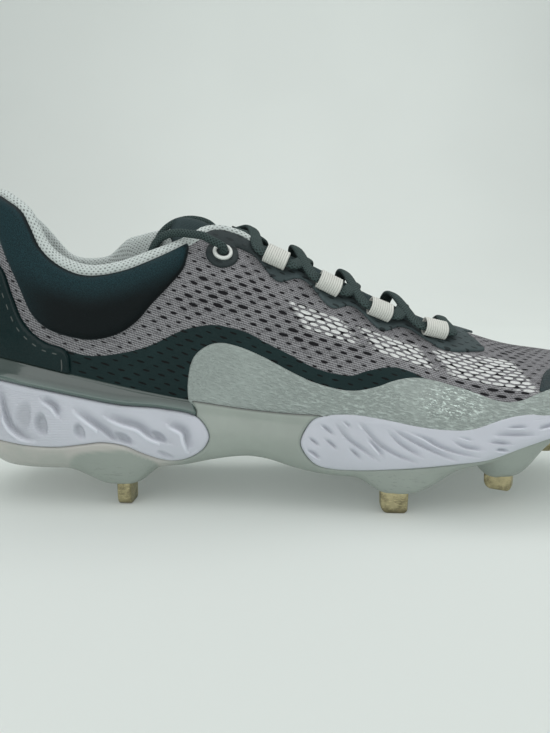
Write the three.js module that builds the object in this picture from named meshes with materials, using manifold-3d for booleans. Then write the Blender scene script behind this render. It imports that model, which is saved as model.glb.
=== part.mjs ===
// Low baseball cleat for the right foot, standing on its studs.
// Millimetres, +Z up, +X towards the toe, the outer side of the foot towards -Y.
// The upper is a hollow wall worked out from sections of the last; what lies on it, in it
// or round it is cut from the same sections, so that the pieces keep to one another.

import * as THREE from "three";
import { mergeVertices } from "three/addons/utils/BufferGeometryUtils.js";
import Module from "manifold-3d";

const wasm = await Module();
wasm.setup();

// Driving sizes
const LENGTH = 290; // upper, heel to toe
const BALL_WIDTH = 93; // upper, across the ball
const STACK = 25.6; // plate's underside to the bed, at the heel
const RISE = 85; // bed to the top of the heel tab
const STUD_LENGTH = 11; // metal that shows below its mount
const MOUNT_DROP = 3.4; // lowest point of the plate to the foot of its mounts
const WALL = 2; // knitted wall of the upper
const CLEARANCE = 0.3; // between pieces that touch
const OVERHANG = 5.6; // sole past the upper, where it is widest
const LIP = 1.7; // sole's edge at its top
const INSOLE = 4;
const PANEL = 2.6; // padded ankle panel
const FILM = 0.9; // fused side film and toe cap
const COUNTER = 1.4; // moulded heel counter
const EYESTAY = 1; // lace stay round the throat
const LINING = 3.2; // padded collar lining
const ROLL = 4.5; // lining that shows above the collar's edge
const LINING_DEPTH = 30; // lining below the collar's edge
const TONGUE = 4; // padded tongue
const TONGUE_WIDTH = 44;
const LACE_WIDTH = 5;
const LACE_THICKNESS = 2.6;
const LOOP_LENGTH = 9.6; // webbing loop, along the lace
const LOOP_TAPE = 0.9;
const EYELET_RADIUS = 4;
const EYELET_BORE = 2.5;
const STUD_WIDTH = 11.5;
const STUD_THICKNESS = 5.5;
const STUD_ROOT = 4; // metal inside the mount
const ROW_COUNT = 24; // stations along the foot
const ARCH_COUNT = 6; // steps from the bed to the ridge
const FINE_COUNT = 48; // steps of a section before it is evened out
const FLATNESS = 0.09; // how far a face may lie from the finer one it stands for

const PLATE = STUD_LENGTH + MOUNT_DROP; // height of the plate's lowest point
const HEEL_BED = PLATE + STACK;
const FAR = 2 * LENGTH; // past every edge of the shoe

const COLOURS = {
  mesh: 0x8b888c,
  dark: 0x1c3236,
  stay: 0x3c4646,
  film: 0x9ba49f,
  lining: 0xc9d3cf,
  foam: 0xc3c3cf,
  plate: 0x8d958e,
  rand: 0x66706b,
  metal: 0x9a9274,
  tape: 0xc8c5ba,
  lace: 0x323c3c,
};

// Turns rows of numbers into objects with named columns.
function table(columns, rows) {
  return rows.map((row) => Object.fromEntries(columns.map((name, i) => [name, row[i]])));
}

// Sections of the last. at: share of LENGTH from the heel. half, axis, crest: half width, middle line
// and sideways lean of the ridge, of BALL_WIDTH. bed: of STACK above the plate. ridge: of RISE above
// the bed. full: exponent of the arch. taper: narrowing to the ridge. flare: share of OVERHANG.
const SECTIONS = table(
  ["at", "half", "axis", "crest", "bed", "ridge", "full", "taper", "flare"],
  [
    [0, 0, -0.005, 0, 1, 1.2, 12, 0.2, 1],
    [0.02, 0.1875, -0.004, 0, 1, 1.2, 12, 0.2, 1],
    [0.05, 0.27, -0.005, 0, 1, 1.2, 12, 0.2, 1],
    [0.1, 0.3185, -0.0065, 0, 1, 1.2, 12, 0.2, 1],
    [0.17, 0.3375, -0.008, 0, 0.99, 1.2, 12, 0.2, 0.95],
    [0.22, 0.34, -0.011, 0.002, 0.97, 1.15, 9, 0.2, 0.9],
    [0.28, 0.337, -0.015, 0.006, 0.93, 0.99, 6, 0.17, 0.75],
    [0.33, 0.335, -0.023, 0.012, 0.87, 0.927, 5, 0.12, 0.62],
    [0.38, 0.3365, -0.0315, 0.02, 0.8, 0.884, 4.5, 0.08, 0.55],
    [0.48, 0.365, -0.04, 0.032, 0.66, 0.779, 3.1, 0.1, 0.58],
    [0.58, 0.43, -0.025, 0.042, 0.54, 0.65, 2.3, 0.26, 0.7],
    [0.66, 0.4825, -0.0025, 0.05, 0.51, 0.553, 2.1, 0.32, 0.8],
    [0.73, 0.4985, 0.0135, 0.05, 0.59, 0.459, 2.1, 0.24, 0.8],
    [0.8, 0.481, 0.029, 0.045, 0.777, 0.333, 2.3, 0.12, 0.8],
    [0.87, 0.4275, 0.0425, 0.035, 0.89, 0.262, 2.6, 0.04, 0.8],
    [0.93, 0.33, 0.045, 0.02, 0.984, 0.2, 3, 0, 0.8],
    [0.97, 0.22, 0.045, 0.01, 1.078, 0.135, 3, 0, 0.8],
    [1, 0, 0.045, 0, 1.17, 0.04, 3, 0, 0.8],
  ],
);

// Back of the heel and front of the toe: inset, of LENGTH, at a height, of RISE above the bed.
const HEEL_BACK = table(
  ["height", "inset"],
  [
    [0, 0.012],
    [0.12, 0.003],
    [0.4, 0],
    [0.65, 0.0095],
    [0.85, 0.0205],
    [1, 0.025],
    [1.2, 0.024],
  ],
);
const TOE_FRONT = table(
  ["height", "inset"],
  [
    [0, 0.006],
    [0.04, 0],
    [1.2, 0],
  ],
);

// Profile of the sole's two edges, of STACK above the plate's lowest point.
const SOLE_TOP = table(
  ["at", "height"],
  [
    [0, 1.86],
    [0.064, 1.8],
    [0.171, 1.535],
    [0.288, 1.234],
    [0.381, 1.066],
    [0.448, 0.992],
    [0.5, 0.972],
    [0.547, 0.984],
    [0.588, 0.918],
    [0.629, 0.832],
    [0.662, 0.793],
    [0.695, 0.8],
    [0.736, 0.9375],
    [0.76, 0.992],
    [0.802, 1.023],
    [0.878, 1.117],
    [0.947, 1.234],
    [1, 1.36],
  ],
);
const SOLE_UNDERSIDE = table(
  ["at", "height"],
  [
    [0, 0.24],
    [0.026, 0.09],
    [0.067, 0.03],
    [0.154, 0.03],
    [0.23, 0.05],
    [0.309, 0.1],
    [0.353, 0.2],
    [0.398, 0.27],
    [0.429, 0.235],
    [0.467, 0.11],
    [0.505, 0.027],
    [0.553, 0],
    [0.602, 0.008],
    [0.653, 0.074],
    [0.695, 0.176],
    [0.736, 0.289],
    [0.76, 0.39],
    [0.802, 0.53],
    [0.86, 0.648],
    [0.929, 0.79],
    [0.974, 0.9],
    [1, 0.99],
  ],
);

// How far the sole's side stands out, of its overhang, at a share of its height.
const SOLE_SIDE = table(
  ["level", "out"],
  [
    [0, -0.45],
    [0.07, 0.2],
    [0.22, 0.78],
    [0.46, 1],
    [0.78, 0.68],
  ],
);

// Edges seen from the side. at: of LENGTH from the heel. up: of STACK above the plate's lowest point
// for the sole, and of RISE above the heel's bed for the upper.
const HEEL_FOAM = table(
  ["at", "up"],
  [
    [-0.1, 1.62],
    [0.06, 1.453],
    [0.1065, 1.367],
    [0.17, 1.227],
    [0.2293, 1.098],
    [0.2886, 1.031],
    [0.3338, 0.914],
    [0.3476, 0.742],
    [0.3514, 0.582],
    [0.3431, 0.395],
    [0.3269, 0.254],
    [0.3066, 0.18],
    [0.2866, 0.199],
    [0.2569, 0.34],
    [0.2372, 0.453],
    [0.2072, 0.512],
    [0.1786, 0.473],
    [0.1455, 0.426],
    [0.1014, 0.434],
    [0.0534, 0.496],
    [-0.1, 0.6],
  ],
);
const FORE_FOAM = table(
  ["at", "up"],
  [
    [0.4745, 0.543],
    [0.4831, 0.789],
    [0.4938, 0.918],
    [0.51, 0.985],
    [0.53, 1.06],
    [0.7, 1.2],
    [0.86, 1.5],
    [1.1, 2],
    [1.1, 1.2],
    [1.0, 1.1],
    [0.947, 0.98],
    [0.8776, 0.805],
    [0.8028, 0.617],
    [0.7624, 0.488],
    [0.74, 0.402],
    [0.7179, 0.324],
    [0.6745, 0.277],
    [0.6324, 0.219],
    [0.5907, 0.164],
    [0.5486, 0.121],
    [0.5162, 0.125],
    [0.4966, 0.18],
    [0.4834, 0.324],
  ],
);
const RAND_FRONT = table(
  ["at", "up"],
  [
    [0.3338, 1],
    [0.3283, 1.14],
    [0.3283, 1.6],
  ],
);
const COLLAR = table(
  ["at", "up"],
  [
    [-0.1, 0.84],
    [0.01, 0.915],
    [0.035, 0.962],
    [0.057, 0.992],
    [0.08, 0.955],
    [0.1003, 0.905],
    [0.1124, 0.835],
    [0.1255, 0.7435],
    [0.149, 0.666],
    [0.186, 0.616],
    [0.235, 0.634],
    [0.284, 0.699],
    [0.328, 0.775],
    [0.347, 0.815],
    [0.367, 0.853],
    [0.39, 0.91],
    [0.42, 1.02],
  ],
);
const PANEL_EDGE = table(
  ["at", "up"],
  [
    [-0.1, 0.81],
    [0.03, 0.83],
    [0.063, 0.793],
    [0.078, 0.695],
    [0.096, 0.566],
    [0.113, 0.44],
    [0.132, 0.378],
    [0.16, 0.342],
    [0.193, 0.325],
    [0.229, 0.352],
    [0.2545, 0.409],
    [0.2755, 0.4906],
    [0.3007, 0.58],
    [0.317, 0.6506],
    [0.322, 0.72],
    [0.3238, 0.82],
  ],
);
const COUNTER_EDGE = table(
  ["at", "up"],
  [
    [-0.1, 0.76],
    [0.03, 0.735],
    [0.069, 0.654],
    [0.0845, 0.53],
    [0.102, 0.395],
    [0.129, 0.315],
    [0.16, 0.27],
    [0.157, 0],
  ],
);
const FILM_EDGE = table(
  ["at", "up"],
  [
    [0.3286, -0.1],
    [0.3224, 0.12],
    [0.3317, 0.249],
    [0.3507, 0.301],
    [0.3672, 0.313],
    [0.3934, 0.295],
    [0.4276, 0.246],
    [0.4617, 0.185],
    [0.4955, 0.134],
    [0.541, 0.101],
    [0.572, 0.114],
    [0.6028, 0.1435],
    [0.6331, 0.1506],
    [0.6883, 0.107],
    [0.739, 0.052],
    [0.7617, 0.052],
    [0.8052, 0.094],
    [0.8776, 0.135],
    [0.9466, 0.15],
    [1.1, 0.16],
  ],
);
const CAP_EDGE = table(
  ["at", "up"],
  [
    [0.785, 0],
    [0.797, 0.1],
    [0.815, 0.16],
    [0.845, 0.21],
    [0.89, 0.26],
    [0.96, 0.34],
  ],
);

// Throat seen from above: half width, of BALL_WIDTH, about the ridge.
const THROAT = table(
  ["at", "half"],
  [
    [0.3, 0.165],
    [0.364, 0.142],
    [0.409, 0.132],
    [0.505, 0.14],
    [0.585, 0.145],
    [0.653, 0.145],
    [0.69, 0.115],
    [0.71, 0.06],
  ],
);
const THROAT_END = 0.718;

// Lace holders, of LENGTH from the heel; the first pair is the two eyelets.
const EYELET_AT = 0.368;
const EYELET_OUT = 0.225; // of BALL_WIDTH from the ridge
const LOOP_AT = [0.4431, 0.5172, 0.5897, 0.6672];
const STAY_MARGIN = 4; // stay past the throat, between the loops
const STAY_SCALLOP = 5.6; // and more of it beside each loop
const STAY_FRONT = 9;
const STAY_REAR = 0.335; // of LENGTH from the heel
const LINING_FRONT = LOOP_AT[0] - (LOOP_LENGTH / 2 + 3) / LENGTH;

// Studs. across: of BALL_WIDTH from the middle line. turn: degrees. lift: of STUD_LENGTH above the floor.
// long, wide: half sizes of the mount, of STUD_WIDTH.
const STUDS = table(
  ["name", "at", "across", "turn", "lift", "long", "wide"],
  [
    ["stud_heel_lateral", 0.2305, -0.272, 86, 0, 1.75, 1.05],
    ["stud_heel_medial", 0.2305, 0.252, 94, 0, 1.75, 1.05],
    ["stud_ball_lateral", 0.6025, -0.388, -3, 0, 1.75, 0.8],
    ["stud_ball_medial", 0.655, 0.37, 8, 0, 1.75, 0.8],
    ["stud_toe_lateral", 0.757, -0.325, -30, 0.56, 1.3, 0.82],
    ["stud_toe_medial", 0.78, 0.355, 28, 0.66, 1.3, 0.82],
    ["stud_toe_middle", 0.872, 0.045, 90, 1.1, 1.2, 0.9],
  ],
);

// Lace ends. at, across: of LENGTH and BALL_WIDTH, about the ridge; up: of RISE above the heel's bed.
const LACE_END_LATERAL = table(
  ["at", "across", "up"],
  [
    [0.347, -0.262, 0.84],
    [0.333, -0.246, 0.868],
    [0.312, -0.228, 0.868],
    [0.29, -0.215, 0.846],
    [0.272, -0.2, 0.8],
    [0.262, -0.192, 0.74],
    [0.259, -0.19, 0.66],
    [0.26, -0.19, 0.57],
  ],
);
const LACE_END_MEDIAL = table(
  ["at", "across", "up"],
  [
    [0.35, 0.262, 0.855],
    [0.332, 0.245, 0.912],
    [0.305, 0.225, 0.93],
    [0.278, 0.208, 0.905],
    [0.258, 0.19, 0.84],
    [0.25, 0.182, 0.75],
    [0.249, 0.18, 0.66],
    [0.251, 0.18, 0.57],
  ],
);

const mix = THREE.MathUtils.lerp;
const clamp = THREE.MathUtils.clamp;

// A smooth curve through the rows of a table, from one column to another.
function through(rows, from, to, measure = (value) => value) {
  const at = rows.map((row) => measure(row[from]));
  const value = rows.map((row) => row[to]);
  const last = rows.length - 1;
  const slope = value.map((_, i) => {
    const before = Math.max(i - 1, 0);
    const after = Math.min(i + 1, last);
    return (value[after] - value[before]) / (at[after] - at[before]);
  });
  return (where) => {
    const place = clamp(measure(where), at[0], at[last]);
    let i = at.findIndex((edge) => edge > place) - 1;
    if (i < 0) i = last - 1;
    const width = at[i + 1] - at[i];
    const t = (place - at[i]) / width;
    const bend = t * t * (3 - 2 * t);
    return (
      mix(value[i], value[i + 1], bend) +
      slope[i] * width * t * (1 - t) * (1 - t) -
      slope[i + 1] * width * t * t * (1 - t)
    );
  };
}

// Stations stand closer together towards the heel and the toe, where the outline turns.
const turnOf = (at) => Math.acos(clamp(1 - 2 * at, -1, 1)) / Math.PI;
const shareOf = (turn) => (1 - Math.cos(Math.PI * turn)) / 2;
const alongX = (at) => (at - 0.5) * LENGTH;
const shareAt = (x) => x / LENGTH + 0.5;

const column = (name) => through(SECTIONS, "at", name, turnOf);
const last = {
  half: column("half"),
  axis: column("axis"),
  crest: column("crest"),
  bed: column("bed"),
  ridge: column("ridge"),
  full: column("full"),
  taper: column("taper"),
  flare: column("flare"),
};
const heelInset = through(HEEL_BACK, "height", "inset");
const toeInset = through(TOE_FRONT, "height", "inset");
const soleTop = through(SOLE_TOP, "at", "height");
const soleUnderside = through(SOLE_UNDERSIDE, "at", "height");
const throatHalf = through(THROAT, "at", "half");

const bedHeight = (at) => PLATE + STACK * last.bed(at);
const ridgeY = (at) => BALL_WIDTH * (last.axis(at) + last.crest(at));
const soleTopHeight = (at) => PLATE + STACK * soleTop(at);
const undersideHeight = (at) => PLATE + STACK * soleUnderside(at);

const FEATHER_TUCK = 0.06; // narrowing of the last at its feather edge
const FEATHER_HEIGHT = 0.1; // of RISE
const HEEL_LEAN = 4; // how soon the heel's back loses hold of the sections
const TOE_LEAN = 8;

// One side of a section, from the bed (0) to the ridge (1). side is -1 for the outer side, 1 for the inner.
function sectionPoint(at, side, share) {
  const h = 1 - (1 - share) ** 2;
  const rise = RISE * last.ridge(at) * h;
  const arch = Math.sqrt(Math.max(0, 1 - h ** last.full(at)));
  const tuck = 1 - FEATHER_TUCK * (1 - clamp(rise / (RISE * FEATHER_HEIGHT), 0, 1)) ** 2;
  const half = last.half(at) * (1 - last.taper(at) * h * h) * arch * tuck;
  const lean = heelInset(rise / RISE) * (1 - at) ** HEEL_LEAN - toeInset(rise / RISE) * at ** TOE_LEAN;
  return new THREE.Vector3(
    alongX(at) + LENGTH * lean,
    BALL_WIDTH * (last.axis(at) + side * half + last.crest(at) * h * h),
    bedHeight(at) + rise,
  );
}

const finePoints = (at, side) =>
  Array.from({ length: FINE_COUNT + 1 }, (_, k) => sectionPoint(at, side, k / FINE_COUNT));

// The same line with its points at even distances.
function evened(points, count) {
  const reach = [0];
  for (let i = 1; i < points.length; i++) reach.push(reach[i - 1] + points[i].distanceTo(points[i - 1]));
  const total = reach[reach.length - 1];
  let i = 0;
  return Array.from({ length: count + 1 }, (_, k) => {
    const want = (total * k) / count;
    while (i < points.length - 2 && reach[i + 1] < want) i++;
    const step = reach[i + 1] - reach[i];
    return points[i].clone().lerp(points[i + 1], step > 0 ? clamp((want - reach[i]) / step, 0, 1) : 0);
  });
}

// The last as rows of points: each row runs from the outer feather edge over the ridge to the inner one.
const lastRows = Array.from({ length: ROW_COUNT + 1 }, (_, i) => {
  const at = shareOf(i / ROW_COUNT);
  const outer = evened(finePoints(at, -1), ARCH_COUNT);
  const inner = evened(finePoints(at, 1), ARCH_COUNT);
  return [...outer, ...inner.slice(0, -1).reverse()];
});

// The outward direction at each point of the last; past its ends a row is its neighbour mirrored.
const lastNormals = lastRows.map((row, i) =>
  row.map((_, j) => {
    const end = row.length - 1;
    const before = i > 0 ? lastRows[i - 1][j] : lastRows[1][end - j];
    const after = i < ROW_COUNT ? lastRows[i + 1][j] : lastRows[ROW_COUNT - 1][end - j];
    const along = new THREE.Vector3().subVectors(after, before);
    const round = new THREE.Vector3().subVectors(row[Math.min(j + 1, end)], row[Math.max(j - 1, 0)]);
    const out = new THREE.Vector3().crossVectors(along, round);
    return out.lengthSq() > 1e-9 ? out.normalize() : new THREE.Vector3(0, 0, 1);
  }),
);

// A manifold-3d solid from triangles and quads, each a list of points; facing is put right at the end.
function solidOf(faces) {
  const corners = [];
  for (const face of faces) {
    for (let k = 1; k + 1 < face.length; k++) corners.push(face[0], face[k], face[k + 1]);
  }
  const geometry = new THREE.BufferGeometry().setFromPoints(corners);
  return solidOfGeometry(geometry);
}

function solidOfGeometry(geometry, matrix) {
  const bare = geometry.index ? geometry.toNonIndexed() : geometry.clone();
  bare.deleteAttribute("normal");
  bare.deleteAttribute("uv");
  if (matrix) bare.applyMatrix4(matrix);
  const merged = mergeVertices(bare, 1e-4);
  const index = merged.index.array;
  const kept = [];
  for (let i = 0; i < index.length; i += 3) {
    const [a, b, c] = [index[i], index[i + 1], index[i + 2]];
    if (a !== b && b !== c && c !== a) kept.push(a, b, c);
  }
  const build = (triVerts) =>
    new wasm.Manifold(
      new wasm.Mesh({ numProp: 3, vertProperties: merged.attributes.position.array, triVerts }),
    );
  const solid = build(new Uint32Array(kept));
  if (solid.volume() > 0) return solid;
  for (let i = 0; i < kept.length; i += 3) [kept[i + 1], kept[i + 2]] = [kept[i + 2], kept[i + 1]];
  return build(new Uint32Array(kept));
}

// The main body of a solid, with faces that lie flat together joined.
const largest = (solid) =>
  solid
    .simplify(FLATNESS)
    .decompose()
    .sort((a, b) => b.volume() - a.volume())[0];

function mesh(name, solid, colour, look = {}) {
  const { numProp, vertProperties, triVerts } = solid.getMesh();
  const count = vertProperties.length / numProp;
  const positions = new Float32Array(count * 3);
  for (let i = 0; i < count; i++) {
    positions.set(vertProperties.subarray(i * numProp, i * numProp + 3), i * 3);
  }
  const geometry = new THREE.BufferGeometry()
    .setAttribute("position", new THREE.BufferAttribute(positions, 3))
    .setIndex(new THREE.BufferAttribute(triVerts, 1));
  const material = new THREE.MeshStandardMaterial({ color: colour, roughness: 0.75, metalness: 0, ...look });
  const made = new THREE.Mesh(geometry, material);
  made.name = name;
  return made;
}

// Faces between rows of points of equal length.
function skinFaces(rows) {
  const faces = [];
  for (let i = 0; i + 1 < rows.length; i++) {
    for (let j = 0; j + 1 < rows[i].length; j++) {
      faces.push([rows[i][j], rows[i + 1][j], rows[i + 1][j + 1], rows[i][j + 1]]);
    }
  }
  return faces;
}

const lowered = (point, drop) => new THREE.Vector3(point.x, point.y, point.z - drop);

// The last grown by a distance, closed underneath, its foot lengthened by a drop.
function lastSolid(grown, drop = 0) {
  const rows = lastRows.map((row, i) =>
    row.map((point, j) => point.clone().addScaledVector(lastNormals[i][j], grown)),
  );
  for (const row of [rows[0], rows[ROW_COUNT]]) {
    for (let j = 0; j < ARCH_COUNT; j++) row[row.length - 1 - j].copy(row[j]);
  }
  for (const row of rows) {
    if (drop > 0) {
      row.unshift(lowered(row[0], drop));
      row.push(lowered(row[row.length - 1], drop));
    }
  }
  const faces = skinFaces(rows);
  for (let i = 0; i < ROW_COUNT; i++) {
    const end = rows[i].length - 1;
    faces.push([rows[i][0], rows[i][end], rows[i + 1][end], rows[i + 1][0]]);
  }
  return solidOf(faces);
}

const BASE_DROP = 8;
const skinLayer = (inside, outside) => lastSolid(outside).subtract(lastSolid(inside, BASE_DROP));

// A flat outline drawn out to both sides, seen from the side (x, z) or from above (x, y).
function drawnOut(points, plane, low = -FAR, high = FAR) {
  const shape = new THREE.Shape(points);
  const geometry = new THREE.ExtrudeGeometry(shape, { depth: high - low, bevelEnabled: false, steps: 1 });
  const matrix = new THREE.Matrix4().makeTranslation(0, 0, low);
  if (plane === "side") matrix.premultiply(new THREE.Matrix4().makeRotationX(Math.PI / 2));
  return solidOfGeometry(geometry, matrix);
}

const soleEdge = (rows) =>
  rows.map(({ at, up }) => new THREE.Vector2(alongX(at), PLATE + STACK * up));
const upperEdge = (rows) =>
  rows.map(({ at, up }) => new THREE.Vector2(alongX(at), HEEL_BED + RISE * up));

// More points along a line, so that it reads as a curve.
const smoothed = (points, perSpan = 2) =>
  new THREE.SplineCurve(points).getPoints((points.length - 1) * perSpan);

// A closed outline moved outwards by a distance, its corners kept sharp.
function grownOutline(points, distance) {
  const turn = THREE.ShapeUtils.area(points) > 0 ? 1 : -1;
  const outward = (from, to) =>
    new THREE.Vector2((to.y - from.y) * turn, (from.x - to.x) * turn).normalize();
  return points.map((point, i) => {
    const before = outward(points[(i + points.length - 1) % points.length], point);
    const after = outward(point, points[(i + 1) % points.length]);
    const spread = Math.max(1 + before.dot(after), 0.4);
    return point.clone().addScaledVector(before.add(after), distance / spread);
  });
}

const above = (line, height = FAR) => [
  ...line,
  new THREE.Vector2(line[line.length - 1].x, height),
  new THREE.Vector2(line[0].x, height),
];
const below = (line) => above(line, -FAR);
const shifted = (line, dx, dz) => line.map((p) => new THREE.Vector2(p.x + dx, p.y + dz));

// Height of the last's surface above a point of the plan.
function surfaceHeight(x, y) {
  const at = clamp(shareAt(x), 0, 1);
  const side = y < ridgeY(at) ? -1 : 1;
  const points = finePoints(at, side);
  for (let i = FINE_COUNT; i > 0; i--) {
    const [outside, inside] = [points[i - 1], points[i]];
    if ((y - outside.y) * side <= 0) {
      return mix(inside.z, outside.z, clamp((y - inside.y) / (outside.y - inside.y), 0, 1));
    }
  }
  return points[0].z;
}

function surfacePoint(at, fromRidge) {
  const x = alongX(at);
  const y = ridgeY(at) + fromRidge;
  return new THREE.Vector3(x, y, surfaceHeight(x, y));
}

const SLOPE_STEP = 0.01; // of LENGTH

// Where a piece sits on the last: a point, the way forward, outward and across.
function seatOn(at, fromRidge) {
  const place = surfacePoint(at, fromRidge);
  const forward = surfacePoint(at + SLOPE_STEP, fromRidge)
    .sub(surfacePoint(at - SLOPE_STEP, fromRidge))
    .normalize();
  const sideStep = LENGTH * SLOPE_STEP * 0.5;
  const sideways = surfacePoint(at, fromRidge + sideStep)
    .sub(surfacePoint(at, fromRidge - sideStep))
    .normalize();
  const out = new THREE.Vector3().crossVectors(forward, sideways).normalize();
  if (out.z < 0) out.negate();
  return { place, forward, out, across: new THREE.Vector3().crossVectors(out, forward) };
}

const THROAT_STEPS = 10;
const SCALLOP_STEPS = 24;

// The throat's outline from above, opened by a margin that may change along it.
function throatOutline(margin, front, steps = THROAT_STEPS) {
  const sideLine = (side) =>
    Array.from({ length: steps + 1 }, (_, k) => {
      const at = mix(THROAT[0].at, THROAT_END - 0.008, k / steps);
      return new THREE.Vector2(
        alongX(at),
        ridgeY(at) + side * (BALL_WIDTH * throatHalf(at) + margin(at)),
      );
    });
  const tip = new THREE.Vector2(alongX(THROAT_END) + front, ridgeY(THROAT_END));
  return [...sideLine(-1), tip, ...sideLine(1).reverse()];
}

// The cup of the sole: closed rings from the underside to the top edge, and the last taken out of it.
const soleLevels = [...SOLE_SIDE.map((row) => row.level), 1];
const sideOut = [...SOLE_SIDE.map((row) => row.out), null];

// The sole follows the last between these shares of its rise.
const KEEP_LOW = 0.4;
const KEEP_HIGH = 0.6;

function soleRing(k, grown) {
  const level = soleLevels[k];
  const base = [];
  const sides = [
    Array.from({ length: ROW_COUNT + 1 }, (_, i) => [i, -1]),
    Array.from({ length: ROW_COUNT - 1 }, (_, i) => [ROW_COUNT - 1 - i, 1]),
  ].flat();
  for (const [i, side] of sides) {
    const at = shareOf(i / ROW_COUNT);
    const z = mix(undersideHeight(at), soleTopHeight(at), level);
    const rise = RISE * last.ridge(at);
    const keep = Math.min(RISE * FEATHER_HEIGHT, rise * KEEP_LOW);
    const height = bedHeight(at) + Math.min(Math.max(z - bedHeight(at), keep), rise * KEEP_HIGH);
    const found = finePoints(at, side).find((point) => point.z >= height);
    base.push({ at, point: new THREE.Vector3(found.x, found.y, z) });
  }
  return base.map(({ at, point }, n) => {
    const before = base[(n + base.length - 1) % base.length].point;
    const after = base[(n + 1) % base.length].point;
    const along = new THREE.Vector2(after.x - before.x, after.y - before.y).normalize();
    const top = sideOut[k] === null;
    const out = grown + (top ? LIP : OVERHANG * last.flare(at) * sideOut[k]);
    return new THREE.Vector3(point.x + along.y * out, point.y - along.x * out, point.z + (top ? grown : 0));
  });
}

function soleForm(grown = 0) {
  const rings = soleLevels.map((_, k) => soleRing(k, grown));
  const closed = rings.map((ring) => [...ring, ring[0]]);
  const faces = skinFaces(closed);
  for (const ring of [rings[0], rings[rings.length - 1]]) {
    const count = ring.length;
    const cap = [];
    for (let i = 0; i < ROW_COUNT; i++) {
      const corners = [ring[i], ring[i + 1], ring[(count - i - 1) % count], ring[(count - i) % count]];
      cap.push(ring === rings[0] ? corners : corners.reverse());
    }
    faces.push(...cap);
  }
  return solidOf(faces);
}

// Mounts and studs
function studFrame(stud) {
  const at = stud.at;
  const y = BALL_WIDTH * (last.axis(at) + stud.across);
  const foot = STUD_LENGTH * stud.lift;
  return { at, x: alongX(at), y, foot, turn: THREE.MathUtils.degToRad(stud.turn) };
}

const STUD_CORNER = 0.28; // of STUD_WIDTH

// A blade with rounded lower corners, standing on its flat foot; grown on every side for its pocket.
function studSolid(stud, grown = 0, foot = 0) {
  const half = STUD_WIDTH / 2 + grown;
  const top = STUD_LENGTH + STUD_ROOT + grown;
  const round = STUD_CORNER * STUD_WIDTH;
  const shape = new THREE.Shape();
  shape.moveTo(-half, top);
  shape.lineTo(-half, round + foot);
  shape.absarc(-half + round, round + foot, round, Math.PI, 1.5 * Math.PI, false);
  shape.lineTo(half - round * 0.6, foot);
  shape.absarc(half - round * 0.6, round * 0.6 + foot, round * 0.6, 1.5 * Math.PI, 2 * Math.PI, false);
  shape.lineTo(half, top);
  const depth = STUD_THICKNESS + 2 * grown;
  const geometry = new THREE.ExtrudeGeometry(shape, { depth, bevelEnabled: false, curveSegments: 4 });
  const at = studFrame(stud);
  const matrix = new THREE.Matrix4()
    .makeTranslation(at.x, at.y, at.foot)
    .multiply(new THREE.Matrix4().makeRotationZ(at.turn))
    .multiply(new THREE.Matrix4().makeRotationX(Math.PI / 2))
    .multiply(new THREE.Matrix4().makeTranslation(0, 0, -depth / 2));
  return solidOfGeometry(geometry, matrix);
}

const MOUNT_SINK = 1.5; // how deep a mount's round back sits in the plate

function mountSolid(stud) {
  const { x, y, foot, turn } = studFrame(stud);
  const top = foot + STUD_LENGTH;
  const centre = undersideHeight(stud.at) + MOUNT_SINK;
  const along = Math.abs(Math.cos(turn)) > 0.5 ? turn : turn - Math.PI / 2;
  const dome = new THREE.SphereGeometry(1, 12, 6);
  const matrix = new THREE.Matrix4()
    .makeTranslation(x, y, centre)
    .multiply(new THREE.Matrix4().makeRotationZ(along))
    .multiply(
      new THREE.Matrix4().makeScale(
        STUD_WIDTH * stud.long,
        STUD_WIDTH * stud.wide,
        (centre - top) * 1.25,
      ),
    );
  const keep = new THREE.BoxGeometry(FAR, FAR, FAR);
  const above = new THREE.Matrix4().makeTranslation(0, 0, top + FAR / 2);
  return solidOfGeometry(dome, matrix).intersect(solidOfGeometry(keep, above));
}

// Tongue. half: of BALL_WIDTH from the ridge. sink: of TONGUE under the last, along the middle.
const TONGUE_FORM = table(
  ["at", "half", "sink"],
  [
    [0.298, 0.13, 1.1],
    [0.304, 0.185, 0.9],
    [0.32, 0.21, 0.7],
    [0.36, 0.222, 0.55],
    [0.44, 0.225, 0.5],
    [0.6, 0.215, 0.5],
    [0.7, 0.19, 0.55],
    [0.74, 0.15, 0.6],
  ],
);
const tongueHalf = through(TONGUE_FORM, "at", "half");
const tongueSink = through(TONGUE_FORM, "at", "sink");
const TONGUE_STATIONS = [0.298, 0.304, 0.32, 0.35, 0.39, 0.43, 0.48, 0.53, 0.58, 0.64, 0.7, 0.74];
const TONGUE_STEPS = 10;
const TONGUE_EDGE = 0.35; // share of the tongue's thickness left at its sides
const TONGUE_TUCK = 0.8; // more room where it passes under the throat's edge

// Depth below the last, along its surface's own direction: the middle fills the throat, the sides tuck in.
function tongueDepth(at, fromRidge) {
  const underLining = 1 - THREE.MathUtils.smoothstep(at, LINING_FRONT + 0.01, LINING_FRONT + 0.06);
  const side = WALL + 2 * CLEARANCE + TONGUE_TUCK + underLining * (LINING + CLEARANCE);
  const edge = BALL_WIDTH * throatHalf(at) - ROLL / 2 - TONGUE_TUCK;
  const tucked = THREE.MathUtils.smoothstep(Math.abs(fromRidge), edge * 0.45, edge);
  return mix(TONGUE * tongueSink(at), side, tucked);
}

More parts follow.
